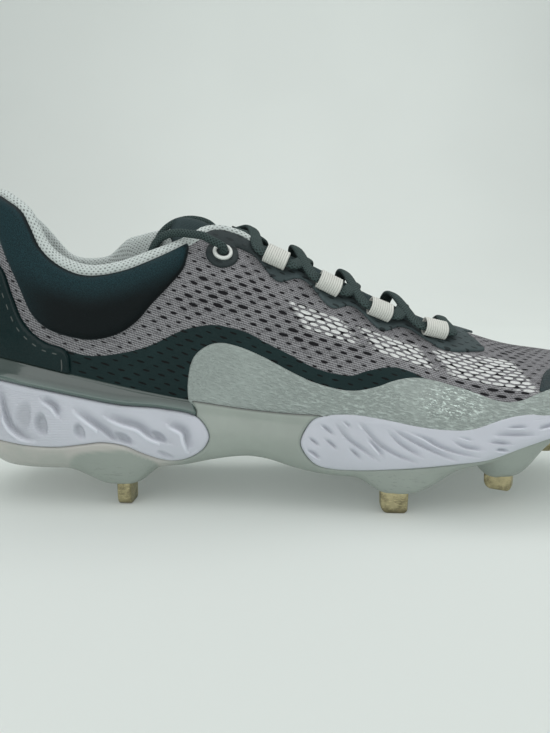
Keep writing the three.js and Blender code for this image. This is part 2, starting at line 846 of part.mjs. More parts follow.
function tongueSolid() {
  const rows = TONGUE_STATIONS.map((at) => {
    const half = Math.min(BALL_WIDTH * tongueHalf(at), TONGUE_WIDTH / 2);
    const line = (below) =>
      Array.from({ length: TONGUE_STEPS + 1 }, (_, k) => {
        const across = (2 * k) / TONGUE_STEPS - 1;
        const { place, out } = seatOn(at, across * half);
        const thick = TONGUE * mix(1, TONGUE_EDGE, across * across) * below;
        return place.addScaledVector(out, -tongueDepth(at, across * half) - thick);
      });
    return [...line(0), ...line(1).reverse()];
  });
  const faces = skinFaces(rows.map((row) => [...row, row[0]]));
  for (const row of [rows[0], rows[rows.length - 1]]) {
    const end = row.length - 1;
    for (let k = 0; k < TONGUE_STEPS; k++) {
      const corners = [row[k], row[k + 1], row[end - k - 1], row[end - k]];
      faces.push(row === rows[0] ? corners : corners.reverse());
    }
  }
  return largest(solidOf(faces));
}

// A flat lace along a line of points, its broad side towards the given outward directions.
function laceSolid(points, outs, width = LACE_WIDTH, thickness = LACE_THICKNESS) {
  const sides = 6;
  const rows = points.map((point, i) => {
    const along = new THREE.Vector3()
      .subVectors(points[Math.min(i + 1, points.length - 1)], points[Math.max(i - 1, 0)])
      .normalize();
    const across = new THREE.Vector3().crossVectors(outs[i], along).normalize();
    const up = new THREE.Vector3().crossVectors(along, across);
    return Array.from({ length: sides }, (_, k) => {
      const angle = (2 * Math.PI * k) / sides;
      return point
        .clone()
        .addScaledVector(across, (Math.cos(angle) * width) / 2)
        .addScaledVector(up, (Math.sin(angle) * thickness) / 2);
    });
  });
  const faces = skinFaces(rows.map((row) => [...row, row[0]]));
  faces.push([...rows[0]], [...rows[rows.length - 1]].reverse());
  return solidOf(faces);
}

// Webbing loops stand on the stay beside the throat, with the lace running through them.
const LOOP_OUT = 2.4; // from the throat's edge
const loopHalfHeight = LACE_THICKNESS / 2 + 3 * CLEARANCE + LOOP_TAPE;
const loopHalfWidth = LACE_WIDTH / 2 + 3 * CLEARANCE + LOOP_TAPE;
const loopLift = EYESTAY + 2.6 * CLEARANCE + loopHalfHeight;

function loopFrame(index, side) {
  const at = LOOP_AT[index];
  const seat = seatOn(at, side * (BALL_WIDTH * throatHalf(at) + LOOP_OUT));
  seat.centre = seat.place.clone().addScaledVector(seat.out, loopLift);
  return seat;
}

function loopSolid(index, side) {
  const { centre, forward, out, across } = loopFrame(index, side);
  const ring = new THREE.Shape().absellipse(0, 0, loopHalfWidth, loopHalfHeight, 0, 2 * Math.PI);
  ring.holes.push(
    new THREE.Path().absellipse(
      0,
      0,
      loopHalfWidth - LOOP_TAPE,
      loopHalfHeight - LOOP_TAPE,
      0,
      2 * Math.PI,
    ),
  );
  const geometry = new THREE.ExtrudeGeometry(ring, {
    depth: LOOP_LENGTH,
    bevelEnabled: false,
    curveSegments: 5,
  });
  const basis = new THREE.Matrix4().makeBasis(across, out, forward);
  const start = centre.clone().addScaledVector(forward, -LOOP_LENGTH / 2);
  return solidOfGeometry(geometry, basis.setPosition(start));
}

// The lace between its holders: from one side's loop to the next one's on the other side.
const CROSS_LIFT = 3.4; // lace's middle above the last, at a crossing
const LACE_EXIT = 2.2; // straight run past each end of a loop

function strandPoints(firstSide) {
  const points = [];
  const startAt = EYELET_AT + 0.012;
  const start = surfacePoint(startAt, -firstSide * BALL_WIDTH * throatHalf(startAt) * 0.55);
  points.push(start.setZ(start.z + CROSS_LIFT * 0.75));
  LOOP_AT.forEach((at, index) => {
    const side = index % 2 === 0 ? firstSide : -firstSide;
    const middleAt = index === 0 ? mix(startAt, at, 0.55) : mix(LOOP_AT[index - 1], at, 0.5);
    const over = side > 0 ? 0.6 : -0.6;
    const middle = surfacePoint(middleAt, 0);
    points.push(middle.setZ(middle.z + CROSS_LIFT + over));
    const { centre, forward } = loopFrame(index, side);
    const reach = LOOP_LENGTH / 2 + LACE_EXIT;
    points.push(centre.clone().addScaledVector(forward, -reach));
    points.push(centre.clone().addScaledVector(forward, -reach * 0.35));
    points.push(centre.clone().addScaledVector(forward, reach * 0.35));
    points.push(centre.clone().addScaledVector(forward, reach));
  });
  const endAt = LOOP_AT[LOOP_AT.length - 1] + (LOOP_LENGTH / 2 + 2 * LACE_EXIT) / LENGTH;
  const end = surfacePoint(endAt, 0);
  points.push(end.setZ(end.z + CROSS_LIFT));
  return points;
}

function strandSolid(firstSide) {
  const curve = new THREE.CatmullRomCurve3(strandPoints(firstSide), false, "centripetal");
  const points = curve.getSpacedPoints(40);
  return laceSolid(
    points,
    points.map((point) => seatOn(shareAt(point.x), point.y - ridgeY(shareAt(point.x))).out),
  );
}

const LACE_ROUND = 0.62; // of LACE_THICKNESS: the radius of a lace rolled round

function laceEndSolid(side, rows) {
  const { place, out } = eyeletFrame(side);
  const route = [0, EYESTAY + 2 * LACE_THICKNESS].map((height) =>
    place.clone().addScaledVector(out, height),
  );
  for (const { at, across, up } of rows) {
    route.push(new THREE.Vector3(alongX(at), ridgeY(at) + BALL_WIDTH * across, HEEL_BED + RISE * up));
  }
  const curve = new THREE.CatmullRomCurve3(route, false, "centripetal");
  const geometry = new THREE.ExtrudeGeometry(
    new THREE.Shape().absarc(0, 0, LACE_THICKNESS * LACE_ROUND, 0, 2 * Math.PI, false),
    { steps: 12, bevelEnabled: false, extrudePath: curve, curveSegments: 4 },
  );
  return solidOfGeometry(geometry);
}

// Top eyelets: a ring pressed into the stay, standing proud of it.
function eyeletFrame(side) {
  return seatOn(EYELET_AT, side * BALL_WIDTH * EYELET_OUT);
}

const NECK = EYELET_BORE + 0.7;
const EYELET_PROUD = 0.8;
const EYELET_DEEP = WALL + 0.4;

function eyeletSolid(side) {
  const { place, forward, out, across } = eyeletFrame(side);
  const profile = [
    [EYELET_BORE, -EYELET_DEEP],
    [NECK, -EYELET_DEEP],
    [NECK, EYESTAY + 2 * CLEARANCE],
    [EYELET_RADIUS, EYESTAY + 2 * CLEARANCE],
    [EYELET_RADIUS, EYESTAY + EYELET_PROUD],
    [mix(EYELET_BORE, EYELET_RADIUS, 0.5), EYESTAY + EYELET_PROUD + 0.5],
    [EYELET_BORE, EYESTAY + EYELET_PROUD],
    [EYELET_BORE, -EYELET_DEEP],
  ].map(([r, z]) => new THREE.Vector2(r, z));
  const basis = new THREE.Matrix4().makeBasis(forward, out, across.clone().negate());
  return solidOfGeometry(new THREE.LatheGeometry(profile, 14), basis.setPosition(place));
}

// A round column through the upper's wall at an eyelet.
function eyeletColumn(side, radius) {
  const { place, forward, out, across } = eyeletFrame(side);
  const basis = new THREE.Matrix4().makeBasis(forward, out, across.clone().negate());
  return solidOfGeometry(new THREE.CylinderGeometry(radius, radius, 16, 20), basis.setPosition(place));
}

// The upper and what is cut from its own function
const collarLine = smoothed(upperEdge(COLLAR));
const collarCut = drawnOut(above(collarLine), "side");
const throatFloor = bedHeight(0.6) + 8;
const throatCut = drawnOut(throatOutline(() => 0, 0), "top", throatFloor, FAR);
const holes = eyeletColumn(-1, NECK + CLEARANCE).add(eyeletColumn(1, NECK + CLEARANCE));
const opening = collarCut.add(throatCut);
const soleTrim = soleForm(CLEARANCE);

const overlay = (thickness) => skinLayer(CLEARANCE, CLEARANCE + thickness).subtract(opening);

const upper = largest(skinLayer(-WALL, 0).subtract(opening).subtract(holes));

const panelOutline = above(upperEdge(PANEL_EDGE));
const panel = largest(overlay(PANEL).intersect(drawnOut(panelOutline, "side")));

const counterOutline = below(upperEdge(COUNTER_EDGE));
const counter = largest(
  overlay(COUNTER).intersect(drawnOut(counterOutline, "side")).subtract(soleTrim),
);

const filmOutline = below(upperEdge(FILM_EDGE));
const film = largest(overlay(FILM).intersect(drawnOut(filmOutline, "side")).subtract(soleTrim));

const capLine = upperEdge(CAP_EDGE);
const capOutline = [
  ...capLine,
  new THREE.Vector2(alongX(CAP_EDGE[CAP_EDGE.length - 1].at), FAR),
  new THREE.Vector2(FAR, FAR),
  new THREE.Vector2(FAR, capLine[0].y),
];
const cap = largest(
  overlay(FILM)
    .intersect(drawnOut(capOutline, "side"))
    .subtract(drawnOut(shifted(filmOutline, 0, 2 * CLEARANCE), "side"))
    .subtract(soleTrim),
);

// The stay: wide beside each loop, and with a round lobe under each eyelet
const LOBE_RADIUS = EYELET_RADIUS + 2.6;
function stayMargin(at) {
  const nearest = Math.min(...LOOP_AT.map((loop) => Math.abs(at - loop)));
  const span = (LOOP_AT[1] - LOOP_AT[0]) / 2;
  return STAY_MARGIN + STAY_SCALLOP * Math.cos((Math.PI / 2) * clamp(nearest / span, 0, 1)) ** 2;
}

const stayRear = drawnOut(
  [
    new THREE.Vector2(-FAR, -FAR),
    new THREE.Vector2(alongX(STAY_REAR), -FAR),
    new THREE.Vector2(alongX(STAY_REAR), FAR),
    new THREE.Vector2(-FAR, FAR),
  ],
  "top",
);
const stayOutline = drawnOut(throatOutline(stayMargin, STAY_FRONT, SCALLOP_STEPS), "top", throatFloor, FAR);
const panelGrown = drawnOut(above(shifted(upperEdge(PANEL_EDGE), 2 * CLEARANCE, 0)), "side");
const stay = largest(
  overlay(EYESTAY)
    .intersect(stayOutline.add(eyeletColumn(-1, LOBE_RADIUS)).add(eyeletColumn(1, LOBE_RADIUS)))
    .subtract(stayRear)
    .subtract(panelGrown)
    .subtract(holes),
);

// The lining follows the collar's edge inside the wall, and rolls up above it
const liningOutside = -(WALL + CLEARANCE);
const liningFront = alongX(LINING_FRONT);
const liningFoot = collarLine
  .filter((point) => point.x < liningFront)
  .map((point) => new THREE.Vector2(point.x, Math.min(point.y, HEEL_BED + RISE * 0.8) - LINING_DEPTH));
liningFoot.push(new THREE.Vector2(liningFront, liningFoot[liningFoot.length - 1].y));
const lining = largest(
  skinLayer(liningOutside - LINING, liningOutside)
    .subtract(drawnOut(above(shifted(collarLine, 0, ROLL)), "side"))
    .subtract(drawnOut(throatOutline(() => -ROLL / 2, 0), "top", throatFloor, FAR))
    .intersect(drawnOut(above(liningFoot), "side"))
    .subtract(holes),
);

// The sole
const bedCut = lastSolid(CLEARANCE, 2 * CLEARANCE);
const cup = soleForm().subtract(bedCut);
const heelFoamOutline = soleEdge(HEEL_FOAM);
const foreFoamOutline = soleEdge(FORE_FOAM);
const heelFoam = largest(cup.intersect(drawnOut(heelFoamOutline, "side")));
const foreFoam = largest(cup.intersect(drawnOut(foreFoamOutline, "side")));

const heelFoamTop = heelFoamOutline.slice(0, 7);
const randOutline = [
  ...shifted(heelFoamTop, 0, CLEARANCE),
  ...shifted(soleEdge(RAND_FRONT), 0, CLEARANCE),
  new THREE.Vector2(alongX(-0.1), PLATE + STACK * 3),
];
const heelFoamGrown = drawnOut(grownOutline(heelFoamOutline, CLEARANCE), "side");
const rand = largest(
  cup.intersect(drawnOut(randOutline, "side")).subtract(heelFoamGrown),
);

const mounts = STUDS.map(mountSolid).reduce((all, one) => all.add(one));
const pockets = STUDS.map((stud) => studSolid(stud, CLEARANCE, -FAR / 2)).reduce((all, one) => all.add(one));
const plate = largest(
  cup
    .subtract(heelFoamGrown)
    .subtract(drawnOut(grownOutline(foreFoamOutline, CLEARANCE), "side"))
    .subtract(drawnOut(grownOutline(randOutline, CLEARANCE), "side"))
    .add(mounts.subtract(bedCut).subtract(heelFoamGrown).subtract(drawnOut(grownOutline(foreFoamOutline, CLEARANCE), "side")))
    .subtract(pockets),
);

// The insole lies on the sole, inside the upper
const insoleTop = Array.from({ length: ROW_COUNT + 1 }, (_, i) => {
  const at = shareOf(i / ROW_COUNT);
  return new THREE.Vector2(alongX(at), bedHeight(at) + INSOLE);
});
insoleTop.unshift(new THREE.Vector2(-LENGTH, insoleTop[0].y));
insoleTop.push(new THREE.Vector2(LENGTH, insoleTop[insoleTop.length - 1].y));
const insole = largest(
  lastSolid(-(WALL + CLEARANCE)).intersect(drawnOut(below(insoleTop), "side")),
);

const lace = largest(strandSolid(-1).add(strandSolid(1)));

const shoe = new THREE.Group();
shoe.add(
  mesh("upper", upper, COLOURS.mesh, { roughness: 0.95 }),
  mesh("ankle_panel", panel, COLOURS.dark, { roughness: 0.6 }),
  mesh("collar_lining", lining, COLOURS.lining, { roughness: 1 }),
  mesh("heel_counter", counter, COLOURS.dark, { roughness: 0.3 }),
  mesh("side_film", film, COLOURS.film, { roughness: 0.55 }),
  mesh("toe_cap", cap, COLOURS.dark, { roughness: 0.6 }),
  mesh("lace_stay", stay, COLOURS.stay, { roughness: 0.8 }),
  mesh("tongue", tongueSolid(), COLOURS.stay, { roughness: 0.9 }),
  mesh("insole", insole, COLOURS.dark, { roughness: 1 }),
  mesh("heel_foam", heelFoam, COLOURS.foam, { roughness: 0.7 }),
  mesh("forefoot_foam", foreFoam, COLOURS.foam, { roughness: 0.7 }),
  mesh("heel_rand", rand, COLOURS.rand, { roughness: 0.3 }),
  mesh("outsole_plate", plate, COLOURS.plate, { roughness: 0.4 }),
  mesh("lace_crossings", lace, COLOURS.lace, { roughness: 0.9 }),
  mesh("lace_end_lateral", laceEndSolid(-1, LACE_END_LATERAL), COLOURS.lace, { roughness: 0.9 }),
  mesh("lace_end_medial", laceEndSolid(1, LACE_END_MEDIAL), COLOURS.lace, { roughness: 0.9 }),
);
for (const [side, word] of [[-1, "lateral"], [1, "medial"]]) {
  shoe.add(mesh(`eyelet_${word}`, eyeletSolid(side), COLOURS.lining, { roughness: 0.4 }));
  LOOP_AT.forEach((_, index) => {
    const name = `lace_loop_${word}_${index + 1}`;
    shoe.add(mesh(name, loopSolid(index, side), COLOURS.tape, { roughness: 0.9 }));
  });
}
for (const stud of STUDS) {
  shoe.add(mesh(stud.name, studSolid(stud), COLOURS.metal, { roughness: 0.35, metalness: 1 }));
}

// The origin is on the floor, in the middle of the shoe's outline.
const box = new THREE.Box3().setFromObject(shoe);
const middle = box.getCenter(new THREE.Vector3());
shoe.position.set(-middle.x, -middle.y, -box.min.z);

export default shoe;
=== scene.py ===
"""Looks of a low baseball cleat for the right foot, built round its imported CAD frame.

Sizes in the code are millimetres in the shoe's own frame, as the frame's source has them: x runs from
heel to toe, the outer side of the foot is towards -y, and z is up. to_scene turns them into metres.
"""

import math

import bmesh
import bpy
import numpy as np
from bpy.props import FloatProperty, FloatVectorProperty, PointerProperty
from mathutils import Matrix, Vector


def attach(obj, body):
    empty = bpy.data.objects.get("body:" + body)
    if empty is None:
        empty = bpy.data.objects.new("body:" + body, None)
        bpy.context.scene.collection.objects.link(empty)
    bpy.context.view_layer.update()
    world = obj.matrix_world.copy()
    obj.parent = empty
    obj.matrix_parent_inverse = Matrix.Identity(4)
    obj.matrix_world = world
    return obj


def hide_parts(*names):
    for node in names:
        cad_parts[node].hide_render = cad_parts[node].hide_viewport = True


bl_info = {
    "name": "Baseball cleat looks",
    "version": (1, 0, 0),
    "blender": (4, 5, 0),
    "location": "View3D > Sidebar > Cleat",
    "description": "Builds the visible pieces, materials and stage of a low baseball cleat",
    "category": "Object",
}

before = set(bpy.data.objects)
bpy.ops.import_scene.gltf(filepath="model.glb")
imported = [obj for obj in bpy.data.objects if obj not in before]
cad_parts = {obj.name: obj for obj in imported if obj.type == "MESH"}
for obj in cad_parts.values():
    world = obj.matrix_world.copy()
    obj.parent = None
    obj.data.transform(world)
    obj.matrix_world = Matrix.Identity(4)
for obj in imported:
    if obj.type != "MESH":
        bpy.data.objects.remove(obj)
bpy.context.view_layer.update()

# Sizes of the shoe, as in the frame's source
MM = 0.001
FRAME_SHIFT = np.array([0.664, -1.067, 0.0])
LENGTH = 290.0
BALL_WIDTH = 93.0
STACK = 25.6
RISE = 85.0
STUD_LENGTH = 11.0
MOUNT_DROP = 3.4
WALL = 2.0
CLEARANCE = 0.3
OVERHANG = 5.6
LIP = 1.7
INSOLE = 4.0
PANEL = 2.6
FILM = 0.9
COUNTER = 1.4
EYESTAY = 1.0
LINING = 3.2
ROLL = 4.5
TONGUE = 4.0
TONGUE_WIDTH = 44.0
LACE_WIDTH = 5.0
LACE_THICKNESS = 2.6
LOOP_LENGTH = 9.6
LOOP_TAPE = 0.9
EYELET_RADIUS = 4.0
EYELET_BORE = 2.5
STUD_WIDTH = 11.5
STUD_THICKNESS = 5.5
STUD_ROOT = 4.0
STUD_TAPER = 0.1
STUD_BEVEL = 0.75
END_FULLNESS = 0.62
PLATE = STUD_LENGTH + MOUNT_DROP
HEEL_BED = PLATE + STACK
FEATHER_TUCK = 0.06
FEATHER_HEIGHT = 0.1
HEEL_LEAN = 4
TOE_LEAN = 8
KEEP_LOW = 0.4
KEEP_HIGH = 0.6

# How finely the pieces are drawn. WELD is in metres, as points are joined once they are in the scene
WELD = 2e-5
LAST_ROWS = 300
LAST_COLUMNS = 72
FINE = 160
RING = 520
LEVELS = 46
CAP_COLUMNS = 36
CORD_SIDES = 20
ROUND_SIDES = 40
FINE_SOLE = (1150, 88)

# at, half, axis, crest, bed, ridge, full, taper, flare
SECTIONS = np.array([
    [0, 0, -0.005, 0, 1, 1.2, 12, 0.2, 1],
    [0.02, 0.1875, -0.004, 0, 1, 1.2, 12, 0.2, 1],
    [0.05, 0.27, -0.005, 0, 1, 1.2, 12, 0.2, 1],
    [0.1, 0.3185, -0.0065, 0, 1, 1.2, 12, 0.2, 1],
    [0.17, 0.3375, -0.008, 0, 0.99, 1.2, 12, 0.2, 0.95],
    [0.22, 0.34, -0.011, 0.002, 0.97, 1.15, 9, 0.2, 0.9],
    [0.28, 0.337, -0.015, 0.006, 0.93, 0.99, 6, 0.17, 0.75],
    [0.33, 0.335, -0.023, 0.012, 0.87, 0.927, 5, 0.12, 0.62],
    [0.38, 0.3365, -0.0315, 0.02, 0.8, 0.884, 4.5, 0.08, 0.55],
    [0.48, 0.365, -0.04, 0.032, 0.66, 0.779, 3.1, 0.1, 0.58],
    [0.58, 0.43, -0.025, 0.042, 0.54, 0.65, 2.3, 0.26, 0.7],
    [0.66, 0.4825, -0.0025, 0.05, 0.51, 0.553, 2.1, 0.32, 0.8],
    [0.73, 0.4985, 0.0135, 0.05, 0.59, 0.459, 2.1, 0.24, 0.8],
    [0.8, 0.481, 0.029, 0.045, 0.777, 0.333, 2.3, 0.12, 0.8],
    [0.87, 0.4275, 0.0425, 0.035, 0.89, 0.262, 2.6, 0.04, 0.8],
    [0.93, 0.33, 0.045, 0.02, 0.984, 0.2, 3, 0, 0.8],
    [0.97, 0.22, 0.045, 0.01, 1.078, 0.135, 3, 0, 0.8],
    [1, 0, 0.045, 0, 1.17, 0.04, 3, 0, 0.8],
])
HEEL_BACK = np.array(
    [[0, 0.012], [0.12, 0.003], [0.4, 0], [0.65, 0.0095], [0.85, 0.0205], [1, 0.025], [1.2, 0.024]]
)
TOE_FRONT = np.array([[0, 0.006], [0.04, 0], [1.2, 0]])
SOLE_TOP = np.array([
    [0, 1.86], [0.064, 1.8], [0.171, 1.535], [0.288, 1.234], [0.381, 1.066], [0.448, 0.992],
    [0.5, 0.972], [0.547, 0.984], [0.588, 0.918], [0.629, 0.832], [0.662, 0.793], [0.695, 0.8],
    [0.736, 0.9375], [0.76, 0.992], [0.802, 1.023], [0.878, 1.117], [0.947, 1.234], [1, 1.36],
])
SOLE_UNDERSIDE = np.array([
    [0, 0.24], [0.026, 0.09], [0.067, 0.03], [0.154, 0.03], [0.23, 0.05], [0.309, 0.1],
    [0.353, 0.2], [0.398, 0.27], [0.429, 0.235], [0.467, 0.11], [0.505, 0.027], [0.553, 0],
    [0.602, 0.008], [0.653, 0.074], [0.695, 0.176], [0.736, 0.289], [0.76, 0.39], [0.802, 0.53],
    [0.86, 0.648], [0.929, 0.79], [0.974, 0.9], [1, 0.99],
])
SOLE_SIDE = np.array([[0, -0.45], [0.07, 0.2], [0.22, 0.78], [0.46, 1], [0.78, 0.68], [1, 0.3]])

# Outlines seen from the side: at, of LENGTH from the heel; up, of STACK above the plate's lowest point
HEEL_FOAM = [
    [-0.1, 1.62], [0.06, 1.453], [0.1065, 1.367], [0.17, 1.227], [0.2293, 1.098], [0.2886, 1.031],
    [0.3338, 0.914], [0.3476, 0.742], [0.3514, 0.582], [0.3431, 0.395], [0.3269, 0.254],
    [0.3066, 0.18], [0.2866, 0.199], [0.2569, 0.34], [0.2372, 0.453], [0.2072, 0.512],
    [0.1786, 0.473], [0.1455, 0.426], [0.1014, 0.434], [0.0534, 0.496], [-0.1, 0.6],
]
FORE_FOAM = [
    [0.4745, 0.543], [0.4831, 0.789], [0.4938, 0.918], [0.51, 0.985], [0.53, 1.06], [0.7, 1.2],
    [0.86, 1.5], [1.1, 2], [1.1, 1.2], [1.0, 1.1], [0.947, 0.98], [0.8776, 0.805],
    [0.8028, 0.617], [0.7624, 0.488], [0.74, 0.402], [0.7179, 0.324], [0.6745, 0.277],
    [0.6324, 0.219], [0.5907, 0.164], [0.5486, 0.121], [0.5162, 0.125], [0.4966, 0.18],
    [0.4834, 0.324],
]
RAND_FRONT = [[0.3338, 1], [0.3283, 1.14], [0.3283, 1.6]]
# Outlines of the upper: up, of RISE above the heel's bed
COLLAR = [
    [-0.1, 0.84], [0.01, 0.915], [0.035, 0.962], [0.057, 0.992], [0.08, 0.955], [0.1003, 0.905],
    [0.1124, 0.835], [0.1255, 0.7435], [0.149, 0.666], [0.186, 0.616], [0.235, 0.634],
    [0.284, 0.699], [0.328, 0.775], [0.347, 0.815], [0.367, 0.853], [0.39, 0.91], [0.42, 1.02],
]
# The inner side's collar dips nearer the heel
COLLAR_MEDIAL = [
    [-0.1, 0.84], [0.01, 0.905], [0.035, 0.935], [0.05, 0.915], [0.066, 0.855], [0.08, 0.79],
    [0.093, 0.735], [0.108, 0.7], [0.13, 0.682], [0.16, 0.68], [0.2, 0.712], [0.25, 0.755],
    [0.3, 0.79], [0.335, 0.825], [0.367, 0.865], [0.39, 0.91], [0.42, 1.02],
]
PANEL_EDGE = [
    [-0.1, 0.81], [0.03, 0.83], [0.063, 0.793], [0.078, 0.695], [0.096, 0.566], [0.113, 0.44],
    [0.132, 0.378], [0.16, 0.342], [0.193, 0.325], [0.229, 0.352], [0.2545, 0.409],
    [0.2755, 0.4906], [0.3007, 0.58], [0.317, 0.6506], [0.322, 0.72], [0.3238, 0.82],
]
COUNTER_EDGE = [
    [-0.1, 0.76], [0.03, 0.735], [0.069, 0.654], [0.0845, 0.53], [0.102, 0.395], [0.129, 0.315],
    [0.16, 0.27], [0.157, 0],
]
FILM_EDGE = [
    [0.3286, -0.1], [0.3224, 0.12], [0.3317, 0.249], [0.3507, 0.301], [0.3672, 0.313],
    [0.3934, 0.295], [0.4276, 0.246], [0.4617, 0.185], [0.4955, 0.134], [0.541, 0.101],
    [0.572, 0.114], [0.6028, 0.1435], [0.6331, 0.1506], [0.6883, 0.107], [0.739, 0.052],
    [0.7617, 0.052], [0.8052, 0.094], [0.8776, 0.135], [0.9466, 0.15], [1.1, 0.16],
]
CAP_EDGE = [[0.785, 0], [0.797, 0.1], [0.815, 0.16], [0.845, 0.185], [0.89, 0.2], [0.96, 0.23]]
BAND_EDGE = [
    [-0.1, 0.56], [0.06, 0.53], [0.098, 0.413], [0.117, 0.34], [0.149, 0.287], [0.1895, 0.252],
    [0.229, 0.262], [0.269, 0.295], [0.317, 0.37], [0.3465, 0.392], [0.363, 0.393], [0.403, 0.36],
    [0.4285, 0.314], [0.462, 0.258], [0.4965, 0.198], [0.542, 0.167], [0.565, 0.187],
    [0.6035, 0.199], [0.644, 0.149], [0.69, 0.06],
]
# at, half: the throat's half width about the ridge, of BALL_WIDTH
THROAT = np.array([
    [0.3, 0.165], [0.364, 0.142], [0.409, 0.132], [0.505, 0.14], [0.585, 0.145], [0.653, 0.145],
    [0.69, 0.115], [0.71, 0.06],
])
THROAT_END = 0.718
EYELET_AT = 0.368
EYELET_OUT = 0.225
LOOP_AT = [0.4431, 0.5172, 0.5897, 0.6672]
# at, height that the throat's edge stands up by
THROAT_FLARE = np.array(
    [[0.32, 0], [0.345, 0.8], [0.362, 2.2], [0.388, 2.6], [0.41, 1.4], [0.43, 0], [1, 0]]
)
STAY_MARGIN = 4.6
STAY_SCALLOP = 5.6
STAY_FRONT = 9.0
STAY_REAR = 0.335
# The stay's point at the front of the outer side, in plan: x, y
STAY_NOSE = np.array([
    [48, -10], [48, -19.6], [56, -21.2], [62, -20], [70.3, -16.8], [69.5, -13.5], [67.5, -7],
    [63, 1], [54, 1],
])
LOBE_RADIUS = EYELET_RADIUS + 2.6
LINING_FRONT = LOOP_AT[0] - (LOOP_LENGTH / 2 + 3) / LENGTH
TONGUE_FORM = np.array([
    [0.298, 0.13, 1.1], [0.304, 0.185, 0.9], [0.32, 0.21, 0.7], [0.36, 0.222, 0.2],
    [0.44, 0.225, -0.35], [0.6, 0.215, -0.35], [0.7, 0.19, 0.0], [0.74, 0.15, 0.3],
])

# name, at, across, turn in degrees, lift, foot of the mount, its reach back, forward and across
STUDS = [
    ["stud_heel_lateral", 0.2305, -0.272, 86, 0, 9.4, 26, 17, 21],
    ["stud_heel_medial", 0.2305, 0.252, 94, 0, 9.4, 26, 17, 21],
    ["stud_ball_lateral", 0.6025, -0.388, -3, 0, 9.1, 17, 27, 19],
    ["stud_ball_medial", 0.655, 0.37, 8, 0, 9.1, 17, 27, 19],
    ["stud_toe_lateral", 0.757, -0.325, -30, 0.56, 11.9, 16, 23, 19],
    ["stud_toe_medial", 0.78, 0.355, 28, 0.66, 13, 16, 23, 19],
    ["stud_toe_middle", 0.872, 0.045, 90, 1.1, 20.5, 16, 16, 15],
]

# Lace ends: at, across and up, as the frame's source has them
LACE_ENDS = {
    "lateral": [
        [0.352, -0.279, 0.785], [0.343, -0.274, 0.8], [0.328, -0.263, 0.808],
        [0.311, -0.246, 0.815], [0.294, -0.228, 0.81], [0.28, -0.215, 0.786], [0.27, -0.206, 0.735],
        [0.264, -0.2, 0.66], [0.262, -0.195, 0.57],
    ],
    "medial": [
        [0.35, 0.262, 0.855], [0.332, 0.245, 0.912], [0.305, 0.225, 0.93], [0.278, 0.208, 0.905],
        [0.258, 0.19, 0.84], [0.25, 0.182, 0.75], [0.249, 0.18, 0.66], [0.251, 0.18, 0.57],
    ],
}
SIDES = {"lateral": -1, "medial": 1}

# The line that the rows of the mesh follow, seen from the side: x, z. It is smoothed over FLOW_BLUR
FLOW_BLUR = 14
MESH_FLOW = np.array(
    [[-150, 132], [-124, 117], [-95, 104], [-60, 92], [60, 52], [90, 49], [115, 51], [150, 57]]
)

# Carving of the foam's outer side, seen from the side: each row is a line of x, z points
FORE_SLASHES = [
    [[0.8, 35.2], [4.9, 32.1]],
    [[-3.9, 30.2], [-0.8, 27.7]],
    [[2.3, 29.9], [6.1, 26.8]],
    [[6.4, 35.5], [10.5, 30.5], [14.9, 27.4], [21.2, 23.1]],
    [[8.6, 37.7], [11.1, 35.2]],
    [[11.4, 26.8], [15.2, 23.1]],
    [[14.9, 36.8], [18.7, 32.4], [22.4, 28.7], [28.7, 25], [35.6, 22.5]],
    [[18.4, 30.5], [23.7, 24.6]],
    [[26.2, 33], [30, 29.3], [37.5, 25]],
    [[26.8, 35.5], [31.2, 32.4], [36.9, 29.3], [42.5, 26.8], [50.1, 23.7]],
    [[31.2, 34.9], [38.8, 31.8], [43.8, 29], [50.1, 26.8], [58.2, 25]],
    [[50.1, 30.5], [53.8, 28.7], [60.1, 27.7]],
    [[51.3, 32.6], [56.3, 31.2]],
    [[63.3, 30.5], [71.4, 29.6]],
    [[65.8, 33], [71.4, 33], [80.8, 32.7]],
    [[70.2, 35.8], [77.7, 35.8]],
    [[80.5, 38.2], [86.2, 38.4]],
    [[83, 35], [90.1, 36.3]],
    [[65.8, 27.5], [70.2, 26.9]],
    [[-4.6, 25.6], [-0.2, 22.5]],
    [[93, 40.5], [104, 43.2]],
    [[97, 37.8], [108, 41.2]],
    [[108, 45.6], [121, 48]],
    [[113, 42.6], [125, 46]],
    [[127, 49.5], [138, 51.5]],
]
HEEL_SLASHES = [
    [[-126.3, 47.7], [-125.2, 41], [-122.6, 33.7], [-117.5, 29.4], [-113.1, 28.4]],
    [[-108.1, 44.4], [-104, 41.7], [-101.7, 38.4]],
    [[-94.6, 40], [-89.9, 36.4], [-84.5, 32.4], [-79.1, 28], [-73.8, 26.7]],
    [[-82.5, 38], [-76.5, 35.4], [-71.1, 33.7], [-65.7, 29.7], [-59.6, 27.4]],
    [[-58.3, 34.5], [-53.2, 31.5], [-52.2, 27.7], [-51.2, 24.4]],
    [[-138, 49], [-137, 42], [-133.5, 36], [-129, 33]],
]
DEEPEST_CARVING = 2.7
# x, z, half length, half width, turn in degrees, depth
HEEL_DENTS = [
    [-115.4, 37.4, 6.6, 3.6, 82, 1.3],
    [-108.2, 34.9, 4.9, 2.7, 100, 2.1],
    [-93.2, 32.4, 3.4, 2.2, 115, 1.8],
    [-76.6, 29.2, 4.2, 1.9, -35, 1.5],
    [-62.8, 29.8, 3.6, 1.6, -38, 1.2],
    [-60.3, 21.9, 4.0, 1.2, -30, 0.9],
    [-132.5, 43.5, 5.2, 2.6, 80, 1.2],
]


